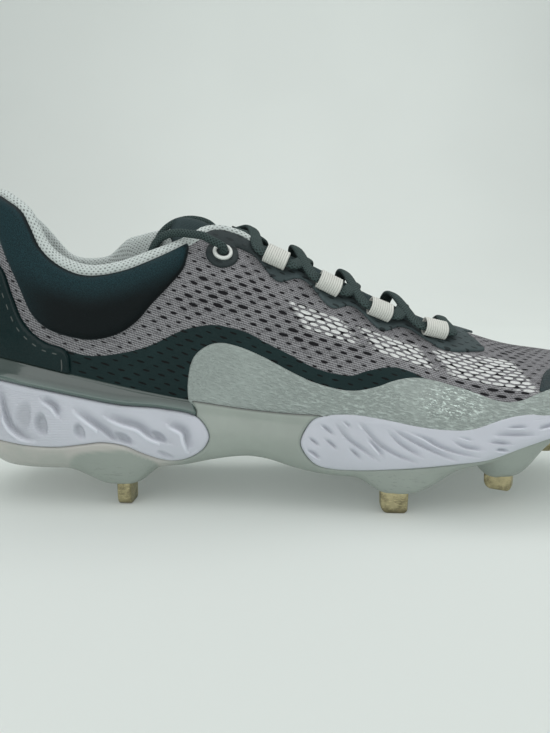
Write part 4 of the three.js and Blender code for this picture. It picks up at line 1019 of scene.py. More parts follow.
class Wiring:
    """Short ways to add nodes to one tree and join them."""

    def __init__(self, tree, shader=None):
        self.tree = tree
        self.shader = shader

    def join(self, socket, value):
        if isinstance(value, bpy.types.NodeSocket):
            self.tree.links.new(value, socket)
        else:
            socket.default_value = value

    def add(self, kind, inputs=None, **settings):
        node = self.tree.nodes.new(kind)
        for name, value in settings.items():
            setattr(node, name, value)
        for key, value in (inputs or {}).items():
            self.join(node.inputs[key], value)
        return node

    def maths(self, operation, first, second=0.0, third=0.0):
        inputs = {0: first, 1: second, 2: third}
        return self.add("ShaderNodeMath", inputs, operation=operation).outputs[0]

    def times(self, first, second):
        return self.maths("MULTIPLY", first, second)

    def plus(self, first, second):
        return self.maths("ADD", first, second)

    def minus(self, first, second):
        return self.maths("SUBTRACT", first, second)

    def over(self, first, second):
        return self.maths("DIVIDE", first, second)

    def vector(self, operation, first, second=(0, 0, 0)):
        return self.add("ShaderNodeVectorMath", {0: first, 1: second}, operation=operation).outputs[0]

    def mixed(self, factor, first, second):
        node = self.add("ShaderNodeMix", {0: factor, 6: first, 7: second}, data_type="RGBA")
        return node.outputs[2]

    def ranged(self, value, low, high, start=0.0, end=1.0, kind="SMOOTHSTEP"):
        inputs = {0: value, 1: low, 2: high, 3: start, 4: end}
        return self.add("ShaderNodeMapRange", inputs, interpolation_type=kind).outputs[0]

    def noise(self, vector, scale, detail=2.0, roughness=0.55):
        inputs = {"Vector": vector, "Scale": scale, "Detail": detail, "Roughness": roughness}
        return self.add("ShaderNodeTexNoise", inputs).outputs[0]

    def flat(self):
        return self.add("ShaderNodeAttribute", attribute_name="flat").outputs["Vector"]

    def mark(self, name):
        return self.add("ShaderNodeAttribute", attribute_name=name).outputs["Fac"]

    def parts(self, vector):
        return self.add("ShaderNodeSeparateXYZ", {0: vector}).outputs

    def group(self, name, **inputs):
        node = self.add("ShaderNodeGroup", node_tree=group_of(name))
        for key, value in inputs.items():
            self.join(node.inputs[key.replace("_", " ")], value)
        return node.outputs

    def slots(self, place, length, width, size):
        """Holes on the upper's own rows."""
        pitch, row = sizes().slot_pitch, sizes().slot_row
        return self.group(
            "slots", Place=place, Pitch=pitch, Row=row, Length=length, Width=width, Size=size
        )

    def dulled(self, wear, smooth, dull):
        """Roughness that varies with the fine wear."""
        return self.ranged(wear["Fine"], 0.3, 0.7, smooth, dull)

    def base(self, colour):
        self.join(self.shader["Base Color"], colour)

    def rough(self, value):
        self.join(self.shader["Roughness"], value)

    def relief(self, height, distance, strength):
        inputs = {"Height": height, "Distance": distance, "Strength": strength}
        self.join(self.shader["Normal"], self.add("ShaderNodeBump", inputs).outputs[0])


def shader_group(name, inputs, outputs):
    """A new node group with its sockets, and the wiring and sockets to fill it with."""
    tree = bpy.data.node_groups.new(name, "ShaderNodeTree")
    for label, kind, default in inputs:
        socket = tree.interface.new_socket(label, in_out="INPUT", socket_type=kind)
        if default is not None:
            socket.default_value = default
    for label, kind in outputs:
        tree.interface.new_socket(label, in_out="OUTPUT", socket_type=kind)
    wiring = Wiring(tree)
    given = wiring.add("NodeGroupInput").outputs
    result = wiring.add("NodeGroupOutput").inputs
    return tree, wiring, given, result


VALUE, VECTOR = "NodeSocketFloat", "NodeSocketVector"
TURN = 6.283


def slots_group():
    """Staggered rows of long holes in a mesh, with the thin ribs between the rows."""
    tree, w, given, result = shader_group(
        "Mesh slots",
        [
            ("Place", VECTOR, None), ("Pitch", VALUE, 6.2), ("Row", VALUE, 2.75),
            ("Length", VALUE, 3.6), ("Width", VALUE, 1.5), ("Size", VALUE, 1.0),
        ],
        [("Hole", VALUE), ("Rib", VALUE), ("Rim", VALUE)],
    )
    place = w.parts(given["Place"])
    wobble = w.times(w.minus(w.noise(given["Place"], 0.12, 1.0), 0.5), 1.1)
    row = w.over(w.plus(place[1], wobble), given["Row"])
    number = w.maths("FLOOR", row)
    across = w.times(w.minus(w.minus(row, number), 0.5), given["Row"])
    shift = w.times(number, 0.5)
    along = w.plus(w.over(place[0], given["Pitch"]), shift)
    cell = w.maths("FLOOR", along)
    along = w.minus(w.minus(along, cell), 0.5)
    along = w.times(along, given["Pitch"])
    corner = w.add("ShaderNodeCombineXYZ", {0: cell, 1: number}).outputs[0]
    chance = w.add("ShaderNodeTexWhiteNoise", {0: corner}, noise_dimensions="3D").outputs[0]
    size = w.times(given["Size"], w.ranged(chance, 0, 1, 0.7, 1.15, "LINEAR"))
    half = w.times(w.times(given["Length"], 0.5), size)
    wide = w.times(w.times(given["Width"], 0.5), size)
    x = w.over(along, half)
    y = w.over(across, wide)
    round_ = w.plus(
        w.maths("POWER", w.maths("ABSOLUTE", x), 1.7), w.maths("POWER", w.maths("ABSOLUTE", y), 2.2)
    )
    w.join(result["Hole"], w.ranged(round_, 0.82, 1.12, 1.0, 0.0))
    w.join(result["Rim"], w.ranged(round_, 0.7, 2.2, 0.0, 1.0))
    edge = w.minus(w.times(given["Row"], 0.5), w.maths("ABSOLUTE", across))
    broken = w.noise(given["Place"], 0.9, 1.0)
    rib = w.times(w.ranged(edge, 0.06, 0.26, 1.0, 0.0), w.ranged(broken, 0.35, 0.6))
    w.join(result["Rib"], rib)
    return tree


def knit_group():
    """Fine heathered knit: small loops with a light and a dark thread."""
    tree, w, given, result = shader_group(
        "Fine knit",
        [("Place", VECTOR, None), ("Stitch", VALUE, 0.55)],
        [("Height", VALUE), ("Shade", VALUE)],
    )
    stretched = w.vector(
        "DIVIDE", given["Place"],
        w.add("ShaderNodeCombineXYZ", {0: given["Stitch"], 1: given["Stitch"], 2: 1.0}).outputs[0],
    )
    place = w.parts(stretched)
    lean = w.plus(w.times(place[0], 0.8), w.times(place[1], 0.5))
    first = w.maths("SINE", w.times(lean, TURN))
    second = w.maths("SINE", w.times(place[1], TURN))
    loops = w.maths("MULTIPLY_ADD", w.maths("MULTIPLY_ADD", first, 0.4, second), 0.35, 0.5)
    streaks = w.vector("MULTIPLY", given["Place"], (0.9, 3.0, 1.0))
    thread = w.noise(streaks, 1.5, 2.0, 0.7)
    w.join(result["Height"], w.plus(loops, w.times(thread, 0.6)))
    w.join(
        result["Shade"],
        w.ranged(w.plus(w.times(loops, 0.35), w.times(thread, 0.65)), 0.34, 0.66, 0, 1, "LINEAR"),
    )
    return tree


def ribs_group():
    """Parallel ribs of a tape, along one direction of the place, each rounded."""
    tree, w, given, result = shader_group(
        "Tape ribs",
        [("Along", VALUE, 0.0), ("Across", VALUE, 0.0), ("Pitch", VALUE, 1.0)],
        [("Height", VALUE), ("Groove", VALUE)],
    )
    wave = w.maths("SINE", w.times(w.over(given["Along"], given["Pitch"]), TURN))
    raised = w.maths("MULTIPLY_ADD", wave, 0.5, 0.5)
    threads = w.maths("SINE", w.times(given["Across"], 14.0))
    w.join(result["Height"], w.plus(w.maths("POWER", raised, 0.5), w.times(threads, 0.06)))
    w.join(result["Groove"], w.ranged(raised, 0.02, 0.3, 1.0, 0.0))
    return tree


def braid_group():
    """Crossing strands of a braided cord."""
    tree, w, given, result = shader_group(
        "Cord braid",
        [("Place", VECTOR, None), ("Pitch", VALUE, 1.3)],
        [("Height", VALUE), ("Shade", VALUE)],
    )
    place = w.parts(given["Place"])
    first = w.over(w.plus(place[0], w.times(place[1], 0.8)), given["Pitch"])
    second = w.over(w.minus(place[0], w.times(place[1], 0.8)), given["Pitch"])
    one = w.maths("SINE", w.times(first, TURN))
    two = w.maths("SINE", w.times(second, TURN))
    height = w.maths("MULTIPLY_ADD", w.maths("MAXIMUM", one, two), 0.5, 0.5)
    w.join(result["Height"], height)
    # Shade follows the strands' height: painted shade where they dip, varied by noise.
    w.join(result["Shade"], w.times(height, w.ranged(w.noise(given["Place"], 1.5), 0.3, 0.7, 0.6, 1.0)))
    return tree


def wear_group():
    """Soft patches of dust and rubbing over the whole shoe."""
    tree, w, given, result = shader_group(
        "Soft wear",
        [("Scale", VALUE, 40.0), ("Amount", VALUE, 0.5)],
        [("Mask", VALUE), ("Fine", VALUE)],
    )
    place = w.add("ShaderNodeTexCoord").outputs["Object"]
    broad = w.noise(place, given["Scale"], 4.0, 0.6)
    fine = w.noise(place, w.times(given["Scale"], 22.0), 2.0, 0.6)
    mask = w.ranged(broad, 0.42, 0.75)
    w.join(result["Mask"], w.times(mask, given["Amount"]))
    w.join(result["Fine"], fine)
    return tree


def scratch_group():
    """Fine scratches and pits of worn metal."""
    tree, w, given, result = shader_group(
        "Fine scratches",
        [("Scale", VALUE, 400.0)],
        [("Scratch", VALUE), ("Tarnish", VALUE)],
    )
    place = w.add("ShaderNodeTexCoord").outputs["Object"]
    scaled = {"Vector": place, "Rotation": (0.3, 0.5, 0.9), "Scale": (1, 14, 6)}
    turned = w.add("ShaderNodeMapping", scaled).outputs[0]
    lines = w.noise(turned, given["Scale"], 3.0, 0.7)
    w.join(result["Scratch"], w.ranged(lines, 0.54, 0.66))
    w.join(
        result["Tarnish"], w.ranged(w.noise(place, w.times(given["Scale"], 0.7), 4.0, 0.65), 0.4, 0.68)
    )
    return tree


GROUPS = {}


def group_of(name):
    """Each node group is made once, when the first material asks for it."""
    makers = {
        "slots": slots_group, "knit": knit_group, "ribs": ribs_group, "braid": braid_group,
        "wear": wear_group, "scratches": scratch_group,
    }
    if name not in GROUPS:
        GROUPS[name] = makers[name]()
    return GROUPS[name]


def new_material(name, **constants):
    """A material whose shader sockets take constants, and its wiring."""
    material = bpy.data.materials.new(name)
    material.use_nodes = True
    shader = material.node_tree.nodes["Principled BSDF"].inputs
    for key, value in constants.items():
        shader[key.replace("_", " ")].default_value = value
    return material, Wiring(material.node_tree, shader)


def sizes():
    return bpy.context.scene.cleat_sizes


def paint(name, factor=1.0):
    """A colour of the panel, made lighter or darker by a factor."""
    colour = getattr(bpy.context.scene.cleat_colours, name)
    return [channel * factor for channel in colour[:3]] + [1.0]


def mesh_material():
    material, w = new_material("Knitted mesh", Roughness=0.9, Specular_IOR_Level=0.25)
    place = w.flat()
    slot = w.mark("slot")
    slots = w.slots(place, sizes().slot_length, sizes().slot_width, slot)
    knit = w.group("knit", Place=place, Stitch=0.85)
    light, dark = paint("mesh", 1.75), paint("mesh", 0.36)
    base = w.mixed(knit["Shade"], dark, light)
    base = w.mixed(w.times(slots["Rib"], 0.6), base, paint("mesh", 0.2))
    dashes = w.group(
        "slots", Place=place, Pitch=sizes().dash_pitch,
        Row=sizes().dash_row, Length=sizes().dash_length, Width=sizes().dash_width,
        Size=w.mark("dash"),
    )
    base = w.mixed(slots["Hole"], base, (0.008, 0.008, 0.01, 1))
    printed = w.times(dashes["Hole"], w.mark("printed"))
    worn = w.group("wear", Scale=300.0, Amount=0.5)
    white = w.mixed(worn["Mask"], paint("dashes"), paint("dashes", 0.72))
    base = w.mixed(printed, base, white)
    w.base(base)
    w.rough(w.ranged(printed, 0, 1, 0.92, 0.5, "LINEAR"))
    hole = w.times(slots["Rim"], w.ranged(printed, 0, 1, 1.0, 0.4, "LINEAR"))
    height = w.plus(hole, w.times(knit["Height"], 0.4))
    height = w.plus(height, w.times(printed, 0.5))
    w.relief(height, 0.0006, 0.9)
    return material


def band_material():
    material, w = new_material("Dark fused band", Specular_IOR_Level=0.15)
    place = w.flat()
    slots = w.slots(place, 3.2, 0.8, w.mark("slot"))
    wear = w.group("wear", Scale=60.0, Amount=0.6)
    base = w.mixed(wear["Mask"], paint("band"), paint("band", 1.5))
    base = w.mixed(slots["Hole"], base, paint("band", 0.1))
    w.base(base)
    w.rough(w.dulled(wear, 0.42, 0.6))
    height = w.minus(w.times(wear["Fine"], 0.15), slots["Hole"])
    height = w.minus(height, w.times(slots["Rib"], 0.25))
    w.relief(height, 0.0003, 0.8)
    return material


def film_material(name, key, smooth, dull):
    """Fused film: the mesh below shows through as faint relief, with creases where it is marked. Its
    ripples get painted highlights and shade, and glints are painted on its creases.
    """
    material, w = new_material(name)
    place = w.flat()
    slots = w.slots(place, 4.2, 1.1, 0.95)
    wear = w.group("wear", Scale=45.0, Amount=0.8)
    # Ripples of the film, drawn as bumps and as painted highlights and shade.
    ripples_and_highlights = w.noise(w.vector("MULTIPLY", place, (0.42, 1.25, 1.0)), 0.9, 3.0, 0.65)
    ripples_and_highlights = w.times(w.ranged(ripples_and_highlights, 0.38, 0.66), w.mark("stretched"))
    base = w.mixed(ripples_and_highlights, paint(key, 0.76), paint(key, 1.28))
    base = w.mixed(w.times(wear["Mask"], 0.4), base, paint(key, 1.2))
    base = w.mixed(w.times(slots["Hole"], 0.3), base, paint(key, 0.72))
    dents = w.noise(w.vector("MULTIPLY", place, (0.8, 1.3, 1.0)), 0.42, 4.0, 0.7)
    creased = w.mark("creased")
    glints = w.noise(w.vector("MULTIPLY", place, (0.8, 1.5, 1.0)), 0.75, 3.0, 0.7)
    painted_glints = w.times(w.ranged(glints, 0.55, 0.6), creased)
    # Painted glints on the creases.
    w.base(w.mixed(w.times(painted_glints, 0.85), base, paint(key, 2.5)))
    rough_place = w.dulled(wear, smooth, dull)
    w.rough(w.minus(rough_place, w.times(creased, 0.22)))
    height = w.times(w.plus(slots["Hole"], slots["Rib"]), -0.28)
    height = w.plus(height, w.times(ripples_and_highlights, 0.8))
    height = w.plus(height, w.times(w.times(dents, creased), 3.5))
    w.relief(height, 0.0006, 0.8)
    return material


def ankle_material():
    material, w = new_material(
        "Padded ankle fabric", Sheen_Weight=0.16, Sheen_Roughness=0.28, Specular_IOR_Level=0.16
    )
    w.shader["Sheen Tint"].default_value = (0.45, 0.75, 0.8, 1)
    place = w.flat()
    knit = w.group("knit", Place=place, Stitch=0.34)
    # How near the pad's rim a point is, for the painted shade there.
    edge = w.ranged(w.parts(place)[2], 0.3, 1.3, 1.0, 0.0)
    grain = w.noise(place, 2.4, 2.0, 0.7)
    base = w.mixed(w.ranged(grain, 0.35, 0.65), paint("ankle", 0.7), paint("ankle", 1.8))
    # Painted shade: the panel darkens away from the collar and the heel.
    base = w.mixed(w.ranged(w.mark("worn_pale"), 0, 1, 0.9, 0.0), base, paint("ankle", 0.06))
    # Painted shade along the pad's rim, where it meets the upper.
    base = w.mixed(w.times(edge, 0.85), base, (0.004, 0.006, 0.007, 1))
    w.base(base)
    w.rough(w.ranged(knit["Shade"], 0, 1, 0.5, 0.66))
    w.relief(knit["Height"], 0.00012, 0.5)
    return material


def counter_material():
    material, w = new_material(
        "Glossy heel film", Coat_Weight=0.22, Coat_Roughness=0.08, Specular_IOR_Level=0.08
    )
    wear = w.group("wear", Scale=30.0, Amount=0.9)
    place = w.flat()
    slots = w.slots(place, 3.4, 0.8, 1.0)
    base = w.mixed(w.times(wear["Mask"], 0.5), paint("counter"), paint("counter", 1.6))
    along = w.parts(place)[0]
    row = w.maths("ABSOLUTE", w.minus(w.mark("inset"), 0.3))
    row = w.ranged(row, 0.01, 0.03, 1.0, 0.0)
    stitch = w.times(row, w.ranged(w.maths("SINE", w.times(along, 1.7)), 0.1, 0.5))
    w.base(w.mixed(w.times(stitch, 0.3), base, paint("tape", 0.5)))
    w.rough(w.dulled(wear, 0.2, 0.42))
    height = w.minus(w.times(wear["Fine"], 0.2), w.times(slots["Hole"], 0.3))
    w.relief(height, 0.00025, 0.5)
    return material


def lining_material():
    material, w = new_material("Speckled knit lining", Roughness=0.95, Specular_IOR_Level=0.2)
    place = w.flat()
    dots = w.group("slots", Place=place, Pitch=1.9, Row=0.95, Length=0.85, Width=0.55, Size=1.0)
    knit = w.group("knit", Place=place, Stitch=0.45)
    base = w.mixed(knit["Shade"], paint("lining", 0.84), paint("lining", 1.12))
    base = w.mixed(w.times(dots["Hole"], 0.72), base, paint("lining", 0.2))
    w.base(base)
    height = w.plus(w.times(knit["Height"], 0.4), dots["Rim"])
    w.relief(height, 0.0003, 0.7)
    return material


def cloth_material(name, key, stitch=0.5):
    material, w = new_material(name, Roughness=0.85, Specular_IOR_Level=0.25)
    place = w.flat()
    knit = w.group("knit", Place=place, Stitch=stitch)
    wear = w.group("wear", Scale=50.0, Amount=0.5)
    base = w.mixed(knit["Shade"], paint(key, 0.75), paint(key, 1.3))
    w.base(w.mixed(wear["Mask"], base, paint(key, 1.35)))
    w.relief(knit["Height"], 0.0002, 0.7)
    return material


def stay_material():
    material, w = new_material("Matt lace stay", Specular_IOR_Level=0.2)
    place = w.flat()
    slots = w.slots(place, 3.4, 1.1, 0.9)
    wear = w.group("wear", Scale=70.0, Amount=0.7)
    base = w.mixed(wear["Mask"], paint("stay", 0.85), paint("stay", 1.6))
    base = w.mixed(w.times(slots["Hole"], 0.8), base, paint("stay", 0.2))
    rear = w.ranged(w.parts(place)[0], -42, -16, 0.75, 0.0)
    w.base(w.mixed(rear, base, paint("stay", 0.3)))
    w.rough(w.dulled(wear, 0.6, 0.8))
    height = w.minus(w.times(wear["Fine"], 0.3), w.times(slots["Hole"], 0.6))
    w.relief(height, 0.0003, 0.7)
    return material


def foam_material():
    material, w = new_material(
        "Moulded foam", Subsurface_Weight=0.12, Subsurface_Scale=0.004, Specular_IOR_Level=0.4
    )
    w.shader["Subsurface Radius"].default_value = (1.0, 0.8, 0.9)
    wear = w.group("wear", Scale=55.0, Amount=0.45)
    place = w.parts(w.flat())
    lines = w.maths("SINE", w.times(place[1], 9.5))
    ribbed = w.times(lines, w.mark("ribbed"))
    base = w.mixed(wear["Mask"], paint("foam"), paint("foam", 0.9))
    # Painted shade in the carved gouges.
    deep = w.mark("carved")
    base = w.mixed(w.times(deep, 0.42), base, paint("foam", 0.55))
    # Painted highlight on the lips of the gouges.
    painted_lip_highlight = w.times(w.mark("lip"), 0.8)
    w.base(w.mixed(painted_lip_highlight, base, paint("foam", 1.3)))
    w.rough(w.dulled(wear, 0.42, 0.58))
    height = w.plus(w.times(wear["Fine"], 0.12), w.times(ribbed, 0.35))
    w.relief(height, 0.0003, 0.55)
    return material


def plate_material():
    material, w = new_material("Moulded plate", Coat_Weight=0.25, Coat_Roughness=0.2)
    wear = w.group("wear", Scale=38.0, Amount=0.7)
    scuffs = w.group("scratches", Scale=160.0)
    base = w.mixed(w.mark("pale"), paint("plate"), paint("heel_plate"))
    base = w.mixed(wear["Mask"], base, paint("plate", 1.18))
    base = w.mixed(w.times(w.mark("seam"), 0.85), base, paint("plate", 0.12))
    low = w.times(scuffs["Scratch"], w.mark("low"))
    w.base(w.mixed(w.times(low, 0.35), base, paint("plate", 0.55)))
    w.rough(w.dulled(wear, 0.3, 0.46))
    height = w.minus(w.times(wear["Fine"], 0.1), w.times(low, 0.3))
    w.relief(height, 0.0002, 0.5)
    return material


def rand_material():
    material, w = new_material("Glossy rand", Coat_Weight=0.8, Coat_Roughness=0.08)
    wear = w.group("wear", Scale=40.0, Amount=0.5)
    base = w.mixed(wear["Mask"], paint("rand"), paint("rand", 1.1))
    # Painted shade in the rand's hollow.
    base = w.mixed(w.times(w.mark("hollow"), 0.45), base, paint("rand", 0.45))
    # Painted highlight along the rand's lower ridge and top rim.
    base = w.mixed(w.times(w.mark("lip"), 0.7), base, paint("rand", 1.9))
    w.base(base)
    w.rough(w.dulled(wear, 0.16, 0.24))
    w.relief(wear["Fine"], 0.00004, 0.2)
    return material


def lace_material():
    material, w = new_material("Braided lace", Roughness=0.9, Specular_IOR_Level=0.25)
    place = w.flat()
    braid = w.group("braid", Place=place, Pitch=1.25)
    # Painted light and shade on the braid's strands.
    base = w.mixed(braid["Shade"], paint("lace", 0.25), paint("lace", 1.6))
    w.base(base)
    w.relief(braid["Height"], 0.0003, 0.8)
    return material


def tape_material():
    material, w = new_material("Ribbed tape", Roughness=0.88, Specular_IOR_Level=0.3)
    place = w.parts(w.flat())
    ribs = w.group("ribs", Along=place[0], Across=place[1], Pitch=sizes().tape_rib)
    wear = w.group("wear", Scale=90.0, Amount=0.6)
    base = w.mixed(wear["Mask"], paint("tape"), paint("tape", 0.86))
    # Painted shade in the grooves between the ribs.
    w.base(w.mixed(w.times(ribs["Groove"], 0.5), base, paint("tape", 0.4)))
    w.relief(ribs["Height"], 0.00022, 0.7)
    return material


def eyelet_material():
    material, w = new_material("Satin eyelet", Coat_Weight=0.3, Coat_Roughness=0.2)
    wear = w.group("wear", Scale=120.0, Amount=0.6)
    w.base(w.mixed(wear["Mask"], paint("eyelet"), paint("eyelet", 0.8)))
    w.rough(w.dulled(wear, 0.28, 0.4))
    return material


def metal_material():
    material, w = new_material("Worn stud metal", Metallic=1.0)
    scratches = w.group("scratches", Scale=420.0)
    wear = w.group("wear", Scale=150.0, Amount=1.0)
    base = w.mixed(w.times(scratches["Tarnish"], 0.8), paint("metal"), paint("metal", 0.38))
    base = w.mixed(w.times(scratches["Scratch"], 0.6), base, paint("metal", 1.5))
    height = w.parts(w.add("ShaderNodeTexCoord").outputs["Object"])[2]
    tip = w.times(w.ranged(height, 0.0002, 0.0026, 1.0, 0.0), 0.75)
    base = w.mixed(tip, base, paint("metal", 0.3))
    w.base(base)
    w.rough(w.dulled(wear, 0.28, 0.5))
    height = w.plus(scratches["Scratch"], w.times(wear["Fine"], 0.5))
    w.relief(height, 0.00006, 0.35)
    return material


def floor_material():
    # The floor and backdrop glow a little: painted light that lifts the shadow under the shoe.
    material, w = new_material(
        "Pale floor", Roughness=0.75, Specular_IOR_Level=0.3, Emission_Strength=0.19
    )
    place = w.add("ShaderNodeTexCoord").outputs["Object"]
    shade = w.ranged(w.noise(place, 1.6, 2.0), 0.3, 0.7)
    base = w.mixed(shade, paint("floor"), paint("floor", 0.97))
    w.base(base)
    w.join(w.shader["Emission Color"], base)
    return material


MATERIALS = {}


def material_of(name):
    """Each finish is made once, when the first piece asks for it."""
    makers = {
        "mesh": mesh_material,
        "band": band_material,
        "ankle": ankle_material,
        "counter": counter_material,
        "lining": lining_material,
        "stay": stay_material,
        "foam": foam_material,
        "plate": plate_material,
        "rand": rand_material,
        "lace": lace_material,
        "tape": tape_material,
        "eyelet": eyelet_material,
        "metal": metal_material,
        "floor": floor_material,
        "side_film": lambda: film_material("Fused side film", "film", 0.3, 0.46),
        "toe_film": lambda: film_material("Fused toe film", "toe", 0.4, 0.55),
        "tongue": lambda: cloth_material("Padded tongue fabric", "tongue"),
        "insole": lambda: cloth_material("Insole cloth", "insole", 0.9),
        "inside": lambda: cloth_material("Inner lining cloth", "inside", 0.6),
    }
    if name not in MATERIALS:
        MATERIALS[name] = makers[name]()
    return MATERIALS[name]


SKINS = {}


def skin_of(name):
    if name not in SKINS:
        makers = {"last": prepare_last, "sole": sole_skin, "fine_sole": lambda: sole_skin(*FINE_SOLE)}
        SKINS[name] = makers[name]()
    return SKINS[name]


def sheet_from_last(name, edges, levels, height, marks=None):
    """A piece cut from the last: it lies where the least of its edge distances is positive."""
    skin = skin_of("last").copy()
    distances = [skin[edge] if isinstance(edge, str) else edge(skin) for edge in edges]
    skin.add("edge", np.min(distances, axis=0))
    skin.cut("edge", levels)
    edge = skin["edge"]
    marks = {key: values(skin) for key, values in (marks or {}).items()}
    return skin_object(name, skin, height(skin, edge), marks, edge)


def slot_size(skin):
    """Holes are full size in the middle of a panel, and small beside its edges and at the heel."""
    gaps = [skin["opening"], -skin["panel"], -skin["stay"], -skin["cap"]]
    gaps.append(np.abs(skin["band"]))
    nearest = np.min(gaps, axis=0)
    size = 0.5 + 0.5 * smoothstep(nearest, 0.5, 8)
    return size * (0.78 + 0.22 * smoothstep(skin.points[:, 0], -75, -45))


# Three slanting blocks of dashes on each side of the forefoot, seen from the side: x, z
PRINTED_BLOCKS = np.array([
    [[-12, 83], [-5, 71], [17, 65], [10, 75]],
    [[16, 72.5], [23, 62.5], [47, 55], [41, 64]],
    [[46.5, 63], [52.5, 53], [86, 46.5], [80, 58]],
])


def printed_region(skin):
    seen = side_view(skin.points)
    inside = np.max([held_by(seen, block) for block in PRINTED_BLOCKS], axis=0)
    return smoothstep(inside, -0.2, 0.5)


def ankle_painted_light_share(skin):
    """Where the ankle fabric keeps its painted light: under the collar and toward the heel. Everywhere
    else it gets painted shade.
    """
    collar = 1 - smoothstep(skin["opening"], 0, 15)
    return np.clip(collar + 0.75 * smoothstep(-skin.points[:, 0], 96, 128), 0, 1)


# Where the film creases over the ball of the foot and glints are painted on it, and how far along and
# up: x, z
CREASE_MIDDLE = (51, 44)
CREASE_REACH = (15, 7)


def crease_and_glint_place(skin):
    dx = (skin.points[:, 0] - CREASE_MIDDLE[0]) / CREASE_REACH[0]
    dz = (skin.points[:, 2] - CREASE_MIDDLE[1]) / CREASE_REACH[1]
    return np.where(skin.points[:, 1] < 0, smoothstep(1.25 - dx * dx - dz * dz, 0, 1.1), 0)


def row_reader(index, side):
    """Points and outward directions along one side of one row of the last, by distance up it."""
    skin = skin_of("last")
    count = skin.columns
    if side < 0:
        columns = np.arange(0, LAST_COLUMNS + 1)
    else:
        columns = np.arange(count - 1, LAST_COLUMNS - 1, -1)
    picks = index * count + columns
    reach = skin.girth[index, columns]
    points, outward = skin.points[picks], skin.outward[picks]
    opening = skin["opening"][picks]

    def read(s):
        p = np.array([np.interp(s, reach, points[:, k]) for k in range(3)]).T
        n = np.array([np.interp(s, reach, outward[:, k]) for k in range(3)]).T
        return p, normalised(n)

    crossing = np.where((opening[1:] < 0) & (opening[:-1] >= 0))[0]
    k = crossing[0]
    s = mix(reach[k], reach[k + 1], opening[k] / (opening[k] - opening[k + 1]))
    return read, s


# The lining's section from outside over its roll and down inside: along the upper, out of it
LINING_ROLL = [
    (-2.2, -0.6), (-0.6, 0.1), (0.3, 0.75), (1.5, 1.05), (2.8, 0.75), (3.8, 0.0), (4.4, -1.1),
    (4.6, -2.3), (4.3, -3.6), (3.4, -4.8), (1.8, -5.6), (-0.5, -6.0),
]
LINING_INSIDE = [
    (-4, -6.0), (-9, -5.8), (-15, -5.6), (-22, -5.5), (-29, -5.4), (-30, -4.6), (-30, -2.5),
]


def build_lining():
    at = share_of(np.linspace(0, 1, LAST_ROWS + 1))
    front = int(np.searchsorted(at, LINING_FRONT))
    order = [(i, -1) for i in range(front, -1, -1)] + [(i, 1) for i in range(1, front + 1)]
    readers = [row_reader(i, side) for i, side in order]
    edge = np.array([s for _, s in readers])
    kernel = np.exp(-np.linspace(-1.6, 1.6, 7) ** 2)
    kernel /= kernel.sum()
    edge = np.convolve(np.pad(edge, 3, mode="edge"), kernel, mode="valid")
    path, face = [np.array(rows) for rows in zip(*(read(s) for (read, _), s in zip(readers, edge)))]
    ahead = np.array([read(s + 1.2)[0] for (read, _), s in zip(readers, edge)])
    travel = normalised(np.gradient(path, axis=0))
    reach = reach_along(path)
    ends = smoothstep(np.minimum(reach, reach[-1] - reach), 0, 7)
    throat = smoothstep(share_at(path[:, 0]), 0.332, 0.362)
    side = np.array([float(s) for _, s in order])
    inner = (side > 0) * smoothstep(path[:, 0], -97, -82) * smoothstep(-path[:, 0], 46, 62)
    upright = np.stack([0 * side, side * 0.3, 1 + 0 * side], axis=1)
    stand = mix(normalised(ahead - path), upright, throat[:, None])
    stand = normalised(stand - travel * (stand * travel).sum(axis=1)[:, None])
    out = normalised(np.cross(travel, stand))
    middle = len(order) // 2
    if (out[middle] * face[middle]).sum() < 0:
        out = -out
    rings, flats = [], []
    for k, (read, _) in enumerate(readers):
        thin = mix(1, 0.56, throat[k]) * (1 - 0.3 * float(smoothstep(-path[k, 0], 92, 118)))
        roll = []
        for ds, off in LINING_ROLL:
            up = ds * thin * mix(0.4, 1, ends[k]) * (1 + 1.2 * inner[k] * (ds > 0))
            roll.append(path[k] + stand[k] * up + out[k] * off * thin * mix(0.6, 1, ends[k]))
        ds, off = np.array(LINING_INSIDE).T
        deep = -2 + (off + 2) * mix(0.7, 1, ends[k])
        p, n = read(np.maximum(edge[k] + ds, 1.0))
        rings.append(np.concatenate([np.array(roll), p + n * deep[:, None]]))
        span = reach_along(rings[-1])
        flats.append(np.stack([np.full(len(span), reach[k]), span], axis=1))
    rings = np.array(rings)
    quads = quads_between(*rings.shape[:2])[:, ::-1]
    return rings.reshape(-1, 3), quads, np.concatenate(flats)


def tongue_depth(at, from_ridge):
    under = 1 - smoothstep(at, LINING_FRONT + 0.01, LINING_FRONT + 0.06)
    side = WALL + 2 * CLEARANCE + 0.8 + under * (LINING + CLEARANCE)
    edge = BALL_WIDTH * float(throat_half(at)) - ROLL / 2 - 0.8
    tucked = smoothstep(abs(from_ridge), edge * 0.45, edge)
    sink = float(through(TONGUE_FORM[:, 0], TONGUE_FORM[:, 2])(at))
    return mix(TONGUE * sink, side, float(tucked))


